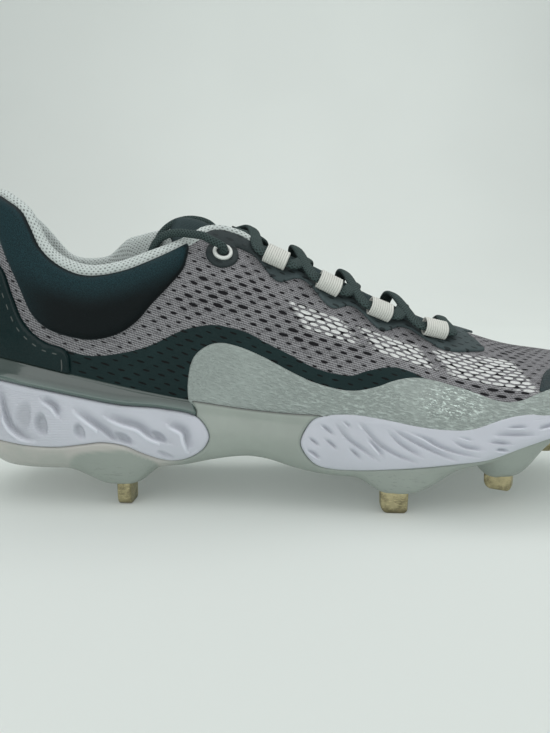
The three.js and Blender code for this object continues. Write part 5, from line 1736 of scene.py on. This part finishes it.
def build_tongue():
    stations = np.linspace(TONGUE_FORM[0][0], TONGUE_FORM[-1][0], 74)
    across = np.linspace(-1, 1, 25)
    tongue_half = through(TONGUE_FORM[:, 0], TONGUE_FORM[:, 1])
    rows, flats = [], []
    for at in stations:
        half = min(BALL_WIDTH * float(tongue_half(at)), TONGUE_WIDTH / 2)
        top, low = [], []
        for share in across:
            seat = seat_on(float(at), share * half)
            depth = tongue_depth(float(at), share * half)
            puff = 3.2 * (1 - share**4) * math.exp(-(((at - 0.322) / 0.034) ** 2))
            thick = TONGUE * mix(1, 0.35, share * share)
            top.append(seat["place"] - seat["out"] * (depth - puff))
            low.append(seat["place"] - seat["out"] * (depth + thick))
        rows.append(np.array(top + low[::-1]))
        flats.append([[along_x(at), s * half] for s in list(across) + list(across[::-1])])
    rings = np.array(rows)
    count, around = rings.shape[:2]
    faces = list(quads_between(count, around, closed=True)[:, ::-1])
    faces += end_caps(count, around)
    return rings.reshape(-1, 3), faces, np.array(flats, float).reshape(-1, 2)


def build_insole():
    at = share_of(np.linspace(0, 1, 120))[1:-1]
    h = np.clip(INSOLE / (RISE * last["ridge"](at)), 0, 1)
    share = 1 - np.sqrt(1 - h)
    low = section_point(at, -1, share)
    high = section_point(at, 1, share)
    inset = np.minimum(WALL + CLEARANCE, (high[:, 1] - low[:, 1]) * 0.45)
    low[:, 1] += inset
    high[:, 1] -= inset
    across = np.linspace(0, 1, 21)
    points = low[:, None] * (1 - across[None, :, None]) + high[:, None] * across[None, :, None]
    cup = 1.6 * (2 * across - 1) ** 4
    points[..., 2] += cup[None] - 0.3
    quads = quads_between(len(at), 21)
    flat = points[..., :2].reshape(-1, 2)
    return points.reshape(-1, 3), quads, flat


def strand_object(name, first_side):
    path = spline(strand_points(first_side), 0.9)
    picks = np.unique(np.append(np.arange(0, len(path), 5), len(path) - 1))
    ups = [
        seat_on(float(share_at(p[0])), p[1] - float(ridge_y(share_at(p[0]))))["out"]
        for p in path[picks]
    ]
    ups = np.array([np.interp(np.arange(len(path)), picks, np.array(ups)[:, k]) for k in range(3)]).T
    profile = oval_profile(LACE_WIDTH * 1.06, LACE_THICKNESS * 0.78)
    rings = tube_rings(path, ups, np.broadcast_to(profile, (len(path), *profile.shape)))
    return tube_object(name, rings)


def joined(name, objects):
    """Several mesh objects as one."""
    with bpy.context.temp_override(active_object=objects[0], selected_editable_objects=objects):
        bpy.ops.object.join()
    objects[0].name = name
    return objects[0]


def loop_rings(index, side):
    seat = loop_frame(index, side)
    angle = np.linspace(0, 2 * math.pi, ROUND_SIDES, endpoint=False)
    steps = np.linspace(0, LOOP_LENGTH, 65)
    rib = 0.13 * np.abs(np.sin(math.pi * steps / sizes().tape_rib))
    edge = 0.35 * (1 - rounded(np.minimum(steps, LOOP_LENGTH - steps), 0.5))
    rows = [(s, rib[k] - edge[k]) for k, s in enumerate(steps)]
    rows += [(s, -LOOP_TAPE + 0.2) for s in (LOOP_LENGTH - 0.3, LOOP_LENGTH / 2, 0.3)]
    rings = []
    for s, out in rows:
        wide, high = LOOP_HALF_WIDTH + out, LOOP_HALF_HEIGHT + out
        x = fuller(np.cos(angle)) * wide
        y = fuller(np.sin(angle)) * high
        centre = seat["centre"] + seat["forward"] * (s - LOOP_LENGTH / 2)
        rings.append(centre + x[:, None] * seat["across"] + y[:, None] * seat["out"])
    rings.append(rings[0])
    flat = [[s, 7 * a] for s, _ in rows + rows[:1] for a in angle]
    return np.array(rings), np.array(flat)


def eyelet_mesh(side):
    seat = eyelet_frame(side)
    centre_r, tube = (EYELET_BORE + EYELET_RADIUS) / 2, (EYELET_RADIUS - EYELET_BORE) / 2
    lift = EYESTAY + 0.75
    turn = np.linspace(math.pi, 0, 9)
    profile = [[centre_r + tube * math.cos(a), lift + tube * math.sin(a)] for a in turn]
    profile += [
        [EYELET_RADIUS, EYESTAY + 0.3], [EYELET_BORE + 0.7, EYESTAY], [EYELET_BORE + 0.7, -WALL - 0.4]
    ]
    profile += [[EYELET_BORE, -WALL - 0.4], profile[0]]
    angle = np.linspace(0, 2 * math.pi, ROUND_SIDES, endpoint=False)
    rings = []
    for r, z in profile:
        around = np.cos(angle)[:, None] * seat["forward"] + np.sin(angle)[:, None] * seat["across"]
        rings.append(seat["place"] + r * around + z * seat["out"])
    rings = np.array(rings)
    quads = quads_between(len(rings), len(angle), closed=True)[:, ::-1]
    return rings.reshape(-1, 3), quads, np.zeros((rings.shape[0] * len(angle), 2))


def build_stud(row):
    name, at, across, turn, lift = row[:5]
    made = bmesh.new()
    corners = []
    for x, z in stud_outline():
        taper = 1 - STUD_TAPER * (1 - z / (STUD_LENGTH + STUD_ROOT))
        corners.append(made.verts.new((x * taper, -STUD_THICKNESS / 2, z)))
    face = made.faces.new(corners)
    pushed = bmesh.ops.extrude_face_region(made, geom=[face])
    moved = [v for v in pushed["geom"] if isinstance(v, bmesh.types.BMVert)]
    bmesh.ops.translate(made, verts=moved, vec=(0, STUD_THICKNESS, 0))
    bmesh.ops.recalc_face_normals(made, faces=made.faces)
    sharp = [e for e in made.edges if len(e.link_faces) == 2 and e.calc_face_angle(0) > 0.6]
    bmesh.ops.bevel(made, geom=sharp, offset=STUD_BEVEL, segments=3, affect="EDGES", profile=0.6)
    angle = math.radians(turn)
    cos, sin = math.cos(angle), math.sin(angle)
    x0 = float(along_x(at))
    y0 = BALL_WIDTH * (float(last["axis"](at)) + across)
    for v in made.verts:
        x, y, z = v.co
        place = np.array([x0 + x * cos - y * sin, y0 + x * sin + y * cos, z + STUD_LENGTH * lift])
        v.co = Vector(to_scene(place))
    mesh = bpy.data.meshes.new(name + "_blade")
    made.to_mesh(mesh)
    made.free()
    obj = bpy.data.objects.new(name + "_blade", mesh)
    bpy.context.scene.collection.objects.link(obj)
    mesh.polygons.foreach_set("use_smooth", [True] * len(mesh.polygons))
    mesh.set_sharp_from_angle(angle=0.7)
    return obj


class CleatColours(bpy.types.PropertyGroup):
    """Colours of the shoe's pieces and of the floor."""


class CleatSizes(bpy.types.PropertyGroup):
    """Sizes of the repeating details, in millimetres."""


COLOUR_ROWS = [
    ("mesh", "Knitted mesh", "Middle tone of the knitted upper", tone(126, 126, 129)),
    ("ankle", "Ankle panel", "Padded panel round the ankle", tone(18, 42, 47)),
    ("band", "Dark band", "Fused band below the mesh", tone(18, 38, 39)),
    ("film", "Side film", "Pale film along both sides", tone(160, 171, 167)),
    ("toe", "Toe film", "Dark film over the toe", tone(30, 50, 54)),
    ("counter", "Heel film", "Glossy film round the heel", tone(11, 33, 34)),
    ("stay", "Lace stay", "Matt stay round the throat", tone(72, 84, 86)),
    ("lining", "Lining", "Knit lining of the collar", tone(205, 214, 212)),
    ("tongue", "Tongue", "Tongue fabric", tone(50, 64, 66)),
    ("insole", "Insole", "Insole cloth", tone(52, 58, 60)),
    ("inside", "Inner lining", "Cloth inside the upper", tone(120, 126, 126)),
    ("foam", "Foam", "Midsole foam", tone(195, 199, 208)),
    ("plate", "Plate", "Plate and stud mounts", tone(145, 154, 147)),
    ("heel_plate", "Heel plate", "Paler part of the plate at the heel", tone(182, 181, 176)),
    ("rand", "Rand", "Glossy band above the heel foam", tone(66, 82, 78)),
    ("lace", "Lace", "Braided lace", tone(56, 70, 69)),
    ("tape", "Tape", "Webbing of the lace loops", tone(214, 216, 210)),
    ("eyelet", "Eyelet", "Ring of the top eyelets", tone(222, 226, 222)),
    ("metal", "Stud metal", "Worn plating of the studs", tone(186, 176, 140)),
    ("dashes", "Dashes", "Printed dashes on the mesh", tone(226, 229, 228)),
    # The floor colour also sets the floor's glow, which is painted light.
    ("floor", "Floor", "Floor and backdrop", tone(207, 213, 210)),
]
SIZE_ROWS = [
    ("slot_pitch", "Hole pitch", "Distance between holes along a row of the mesh", 6.2),
    ("slot_row", "Hole rows", "Distance between rows of holes", 2.75),
    ("slot_length", "Hole length", "Length of a full hole", 4.0),
    ("slot_width", "Hole width", "Width of a full hole", 1.42),
    ("dash_pitch", "Dash pitch", "Distance between printed dashes along a row", 4.6),
    ("dash_row", "Dash rows", "Distance between rows of printed dashes", 1.9),
    ("dash_length", "Dash length", "Length of a printed dash", 4.2),
    ("dash_width", "Dash width", "Width of a printed dash", 1.45),
    ("tape_rib", "Tape rib", "Distance between the ribs of the webbing", 0.96),
]
for key, label, about, default in COLOUR_ROWS:
    CleatColours.__annotations__[key] = FloatVectorProperty(
        name=label, description=about, default=default, size=4, min=0, max=1, subtype="COLOR"
    )
for key, label, about, default in SIZE_ROWS:
    CleatSizes.__annotations__[key] = FloatProperty(
        name=label, description=about, default=default, min=0.1, soft_max=20
    )


# The stage, in metres, degrees and watts. Each light: name, place, aim, size, power
CAMERA_PLACE = (-0.0165, -0.267, 0.090)
CAMERA_TILT = 82
CAMERA_LENS = 29.47
LIGHTS = [
    ("overhead_light", (0.0, 0.0, 1.5), (0.0, 0.1, 0), 2.2, 13.8),
    ("front_light", (-0.5, -1.5, 0.75), (0, 0, 0.05), 1.6, 8.6),
    ("side_light", (1.3, -0.4, 0.9), (0.05, 0, 0.05), 1.0, 3.5),
    ("back_light", (0.3, 0.7, 1.5), (0.2, 1.6, 0.6), 1.4, 6.0),
]
BACKDROP_START = 0.9
BACKDROP_RADIUS = 1.2


class AddStage(bpy.types.Operator):
    """Adds the camera, the soft lights, and a pale floor that curves up into a backdrop"""

    bl_idname = "cleat.add_stage"
    bl_label = "Stage"

    def execute(self, context):
        camera = bpy.data.objects.new("camera", bpy.data.cameras.new("camera"))
        context.scene.collection.objects.link(camera)
        camera.location = CAMERA_PLACE
        camera.rotation_euler = (math.radians(CAMERA_TILT), 0, 0)
        camera.data.sensor_width = 36
        camera.data.lens = CAMERA_LENS
        camera.data.clip_start = 0.01
        context.scene.camera = camera
        back = [[-3, 0], [BACKDROP_START, 0]]
        for a in np.linspace(0, math.pi / 2, 20):
            along, up = BACKDROP_RADIUS * math.sin(a), BACKDROP_RADIUS * (1 - math.cos(a))
            back.append([BACKDROP_START + along, up])
        back.append([BACKDROP_START + BACKDROP_RADIUS, 5])
        xs = np.linspace(-4, 4, 9)
        points = [[x / MM, y / MM, z / MM] for y, z in back for x in xs]
        quads = quads_between(len(back), len(xs))[:, ::-1]
        floor = make_mesh("floor", np.array(points) - FRAME_SHIFT, quads)
        floor.data.materials.append(material_of("floor"))
        for name, place, aim, size, power in LIGHTS:
            light = bpy.data.lights.new(name, "AREA")
            light.energy = power
            light.size = size
            light.color = (1.0, 1.0, 0.99)
            obj = bpy.data.objects.new(name, light)
            obj.location = place
            obj.rotation_euler = (Vector(aim) - Vector(place)).to_track_quat("-Z", "Y").to_euler()
            context.scene.collection.objects.link(obj)
        world = bpy.data.worlds.new("soft_room")
        world.use_nodes = True
        background = world.node_tree.nodes["Background"]
        background.inputs["Color"].default_value = (0.93, 0.95, 0.945, 1)
        sky = Wiring(world.node_tree)
        up = sky.parts(sky.add("ShaderNodeTexCoord").outputs["Generated"])[2]
        sky.join(background.inputs["Strength"], sky.ranged(up, 0.0, 0.8, 0.55, 0.3))
        context.scene.world = world
        context.scene.view_settings.view_transform = "Standard"
        return {"FINISHED"}


class AddLaceEnds(bpy.types.Operator):
    """Adds the two free lace ends, from the top eyelets over the collar and down inside the shoe"""

    bl_idname = "cleat.add_lace_ends"
    bl_label = "Lace ends"

    def execute(self, context):
        for word in SIDES:
            path = lace_end_route(word)
            along = normalised(np.gradient(path, axis=0))
            side = normalised(np.cross(along, [0.3, 1.0, 0.2]))
            radius = LACE_THICKNESS * END_FULLNESS
            angle = np.linspace(0, 2 * math.pi, CORD_SIDES, endpoint=False)
            circle = np.stack([np.cos(angle), np.sin(angle)], axis=1) * radius
            rings = tube_rings(path, side, np.broadcast_to(circle, (len(path), *circle.shape)))
            cord = tube_object(f"lace_end_{word}_cord", rings)
            finish_object(cord, "lace", [f"lace_end_{word}"])
        return {"FINISHED"}


class AddUpper(bpy.types.Operator):
    """Adds the hollow knitted upper with its holes and printed dashes, and the dark band on it"""

    bl_idname = "cleat.add_upper"
    bl_label = "Upper"

    def execute(self, context):
        shell = sheet_from_last(
            "upper_mesh",
            ["opening", lambda s: s["above_sole"] + 3.5],
            [0, 0.3, 0.8],
            lambda s, edge: 0.3 * rounded(s["opening"], 0.8) - 0.3,
            {"slot": slot_size, "printed": printed_region, "dash": lambda s: np.ones(len(s.table))},
        )
        thick = shell.modifiers.new("wall", "SOLIDIFY")
        thick.thickness = WALL * MM
        thick.offset = -1
        thick.material_offset = 1
        thick.material_offset_rim = 1
        finish_object(shell, "mesh", ["upper"])
        shell.data.materials.append(material_of("inside"))
        band = sheet_from_last(
            "dark_band",
            [
                "band",
                lambda s: s["above_sole"] + 3,
                lambda s: 3 - s["film"],
                lambda s: 3 - s["counter"],
            ],
            FILM_LEVELS[:3],
            lambda s, edge: 0.02 + 0.24 * rounded(edge, 0.35),
            {"slot": lambda s: 0.8 + 0.2 * smoothstep(s["edge"], 0, 6)},
        )
        finish_object(band, "band")
        return {"FINISHED"}


class AddFilms(bpy.types.Operator):
    """Adds the pale side film, the dark toe film, the glossy heel film and the lace stay"""

    bl_idname = "cleat.add_films"
    bl_label = "Films and stay"

    def execute(self, context):
        def above_sole(skin):
            return skin["above_sole"] + 2.5

        film = sheet_from_last(
            "side_film_sheet", ["film", above_sole], FILM_LEVELS,
            lambda s, edge: CLEARANCE + FILM * rounded(s["film"], 0.7),
            {
                # The crease mark places the creases and the glints painted on them.
                "creased": crease_and_glint_place,
                # The stretched mark sets how strongly the ripples and their painted highlights and
                # shade show.
                "stretched": lambda s: 0.3 + 0.7 * smoothstep(s.points[:, 0], -35, 15),
            },
        )
        finish_object(film, "side_film", ["side_film"])
        toe = sheet_from_last(
            "toe_film_sheet",
            ["cap", lambda s: -s["film"] + 0.4, above_sole],
            FILM_LEVELS,
            lambda s, edge: CLEARANCE + 0.8 * FILM * rounded(s["cap"], 0.7),
            {"creased": lambda s: np.zeros(len(s.table)), "stretched": lambda s: np.ones(len(s.table))},
        )
        finish_object(toe, "toe_film", ["toe_cap"])
        counter = sheet_from_last(
            "heel_film_shell", ["counter", lambda s: s["above_sole"] - 0.2],
            [0, 0.15, 0.45, 0.9],
            lambda s, edge: CLEARANCE + COUNTER * rounded(s["counter"], 0.9),
            {"inset": lambda s: s["counter"] / 10},
        )
        finish_object(counter, "counter", ["heel_counter"])
        stay = sheet_from_last(
            "lace_stay_film", ["stay", "opening"],
            FILM_LEVELS, lambda s, edge: CLEARANCE + EYESTAY * rounded(edge, 0.7),
        )
        finish_object(stay, "stay", ["lace_stay"])
        return {"FINISHED"}


class AddAnklePanel(bpy.types.Operator):
    """Adds the padded panel round the ankle"""

    bl_idname = "cleat.add_ankle_panel"
    bl_label = "Ankle panel"

    def execute(self, context):
        panel = sheet_from_last(
            "ankle_pad", ["panel", lambda s: s["opening"] + 0.4],
            [0, 0.15, 0.5, 1.1, 2.0, 3.2],
            lambda s, edge: 0.1 + (PANEL + 0.1) * rounded(edge, 3.2) + 2.3 * smoothstep(edge, 0, 22),
            # This mark says where the ankle fabric is spared the painted shade.
            {"worn_pale": ankle_painted_light_share},
        )
        finish_object(panel, "ankle", ["ankle_panel"])
        return {"FINISHED"}


class AddLining(bpy.types.Operator):
    """Adds the padded knit lining that rolls over the collar's edge"""

    bl_idname = "cleat.add_lining"
    bl_label = "Collar lining"

    def execute(self, context):
        points, faces, flat = build_lining()
        lining = make_mesh("collar_roll", points, faces, flat)
        finish_object(lining, "lining", ["collar_lining"])
        return {"FINISHED"}


class AddTongue(bpy.types.Operator):
    """Adds the padded tongue and the insole"""

    bl_idname = "cleat.add_tongue"
    bl_label = "Tongue and insole"

    def execute(self, context):
        points, faces, flat = build_tongue()
        tongue = make_mesh("tongue_pad", points, faces, flat)
        finish_object(tongue, "tongue", ["tongue"])
        points, faces, flat = build_insole()
        insole = make_mesh("insole_sheet", points, faces, flat)
        finish_object(insole, "insole", ["insole"])
        return {"FINISHED"}


class AddFoam(bpy.types.Operator):
    """Adds the two carved foam pieces of the midsole"""

    bl_idname = "cleat.add_foam"
    bl_label = "Midsole foam"

    def execute(self, context):
        for name, measure, node in (
            ("heel_foam_block", "heel_foam", "heel_foam"),
            ("forefoot_foam_block", "fore_foam", "forefoot_foam"),
        ):
            skin = skin_of("fine_sole").copy()
            skin.cut(measure, [0, 0.15, 0.45, 0.9, 1.5])
            edge = skin[measure]
            below_lip = sole_top_height(share_at(skin.points[:, 0])) - skin.points[:, 2]
            inner = smoothstep(edge, 0.8, 2.2) * smoothstep(below_lip, 1.5, 4.5)
            if node == "heel_foam":
                carved = slash_relief(skin.points, HEEL_SLASHES, 2.3, 2.2)
                carved = carved + dent_relief(skin.points, HEEL_DENTS)
            else:
                carved = slash_relief(skin.points, FORE_SLASHES, 1.35, 1.35)
            carved = np.maximum(carved, -DEEPEST_CARVING) * inner
            ribbed = smoothstep(-skin.points[:, 0], 88, 108) * smoothstep(edge, 1, 3)
            height = 0.1 - 1.3 * (1 - rounded(edge, 1.5)) + carved
            # The carved mark sets the painted shade in the gouges.
            marks = {"carved": np.clip(-carved / 1.6, 0, 1), "ribbed": ribbed}
            # The lip mark sets the painted highlight on the gouges' lips.
            marks["lip"] = np.clip(carved / 0.3, 0, 1)
            foam = skin_object(name, skin, height, marks, edge)
            finish_object(foam, "foam", [node])
        return {"FINISHED"}


class AddRand(bpy.types.Operator):
    """Adds the glossy band between the heel foam and the upper"""

    bl_idname = "cleat.add_rand"
    bl_label = "Heel rand"

    def execute(self, context):
        skin = skin_of("sole").copy()
        skin.cut("rand", [0, 0.3, 0.8, 1.2, 1.6, 2.0, 2.6, 3.2])
        edge = skin["rand"]
        up = -skin["heel_foam"]
        ridge = 0.85 * np.exp(-(((up - 1.4) / 0.7) ** 2)) - 0.85 * smoothstep(up, 2.2, 4.2)
        height = 0.1 - 1.0 * (1 - rounded(np.minimum(edge, up), 0.8)) + ridge
        # The rim and the lower ridge get a painted highlight.
        rim = np.exp(-(((edge - 0.5) / 0.45) ** 2)) * smoothstep(up, 2.4, 3.4)
        lip = np.maximum(np.exp(-(((up - 1.4) / 0.8) ** 2)), rim)
        # The hollow mark sets the painted shade in the rand's concave band.
        marks = {"lip": lip, "hollow": smoothstep(up, 2.4, 4.0)}
        rand = skin_object("heel_rand_band", skin, height, marks, edge)
        finish_object(rand, "rand", ["heel_rand"])
        return {"FINISHED"}


class AddPlate(bpy.types.Operator):
    """Adds the moulded plate with its saddle and the mounts of the studs"""

    bl_idname = "cleat.add_plate"
    bl_label = "Outsole plate"

    def execute(self, context):
        skin = skin_of("sole").copy()
        cover = np.max([skin[name] for name in ("heel_foam", "fore_foam", "rand")], axis=0)
        skin.add("edge", -cover)
        skin.cut("edge", [-3.0, -0.2, 0.0, 0.2, 0.6, 1.2])
        edge = skin["edge"]
        drop = mount_drop(skin)
        drop = np.where(edge > 0, drop * smoothstep(edge, 0, 2.5), 0)
        points = skin.points - drop[:, None] * np.array([0, 0, 1])
        height = np.where(edge < 0, -3.2, -1.3 * (1 - rounded(edge, 1.2)))
        groove = np.exp(-((np.abs(np.sin(points[:, 0] * 0.28)) / 0.09) ** 2))
        under = skin["below"] * smoothstep(np.abs(points[:, 0] - 45), 60, 40)
        height = height - 0.5 * groove * under * (drop < 0.01)
        moved = points + skin.outward * height[:, None]
        pale = smoothstep(-points[:, 0], 52, 66) * (1 - smoothstep(drop, 0.02, 0.6))
        low = smoothstep(22 - points[:, 2], 0, 8)
        below_lip = sole_top_height(share_at(skin.points[:, 0])) - skin.points[:, 2]
        marks = {"pale": pale, "low": low, "seam": 1 - smoothstep(below_lip, 0.1, 0.8)}
        flat = np.stack([skin["u"], skin["v"], edge], axis=1)
        plate = make_mesh("outsole_shell", moved, skin.faces(), flat, marks)
        finish_object(plate, "plate", ["outsole_plate"])
        return {"FINISHED"}


class AddStuds(bpy.types.Operator):
    """Adds the worn metal studs"""

    bl_idname = "cleat.add_studs"
    bl_label = "Studs"

    def execute(self, context):
        for row in STUDS:
            finish_object(build_stud(row), "metal", [row[0]])
        return {"FINISHED"}


class AddLoops(bpy.types.Operator):
    """Adds the webbing loops that hold the lace, and the two top eyelets"""

    bl_idname = "cleat.add_loops"
    bl_label = "Lace loops and eyelets"

    def execute(self, context):
        for word, side in SIDES.items():
            for index in range(len(LOOP_AT)):
                rings, flat = loop_rings(index, side)
                faces = quads_between(*rings.shape[:2], closed=True)[:, ::-1]
                node = f"lace_loop_{word}_{index + 1}"
                loop = make_mesh(node + "_tape", rings.reshape(-1, 3), faces, flat)
                finish_object(loop, "tape", [node])
            points, faces, flat = eyelet_mesh(side)
            ring = make_mesh(f"eyelet_{word}_ring", points, faces, flat)
            finish_object(ring, "eyelet", [f"eyelet_{word}"])
        return {"FINISHED"}


class AddLace(bpy.types.Operator):
    """Adds the lace that crosses the tongue through its loops"""

    bl_idname = "cleat.add_lace"
    bl_label = "Lace crossings"

    def execute(self, context):
        lace = joined(
            "lace_crossings_cord", [strand_object("strand_a", -1), strand_object("strand_b", 1)]
        )
        finish_object(lace, "lace", ["lace_crossings"])
        return {"FINISHED"}


STEPS = [
    AddStage, AddLaceEnds, AddUpper, AddFilms, AddAnklePanel, AddLining, AddTongue, AddFoam,
    AddRand, AddPlate, AddStuds, AddLoops, AddLace,
]


class CleatPanel(bpy.types.Panel):
    """Lists the pieces of the cleat, its colours and its sizes"""

    bl_idname = "VIEW3D_PT_cleat"
    bl_label = "Baseball cleat"
    bl_space_type = "VIEW_3D"
    bl_region_type = "UI"
    bl_category = "Cleat"

    def draw(self, context):
        for step in STEPS:
            self.layout.operator(step.bl_idname)
        for group in (context.scene.cleat_colours, context.scene.cleat_sizes):
            for key in group.__annotations__:
                self.layout.prop(group, key)


CLASSES = [CleatColours, CleatSizes, *STEPS, CleatPanel]


def register():
    for kind in CLASSES:
        bpy.utils.register_class(kind)
    bpy.types.Scene.cleat_colours = PointerProperty(type=CleatColours)
    bpy.types.Scene.cleat_sizes = PointerProperty(type=CleatSizes)


def unregister():
    del bpy.types.Scene.cleat_sizes
    del bpy.types.Scene.cleat_colours
    for kind in reversed(CLASSES):
        bpy.utils.unregister_class(kind)


def main():
    register()
    for step in STEPS:
        group, name = step.bl_idname.split(".")
        getattr(getattr(bpy.ops, group), name)()


if __name__ == "__main__":
    main()
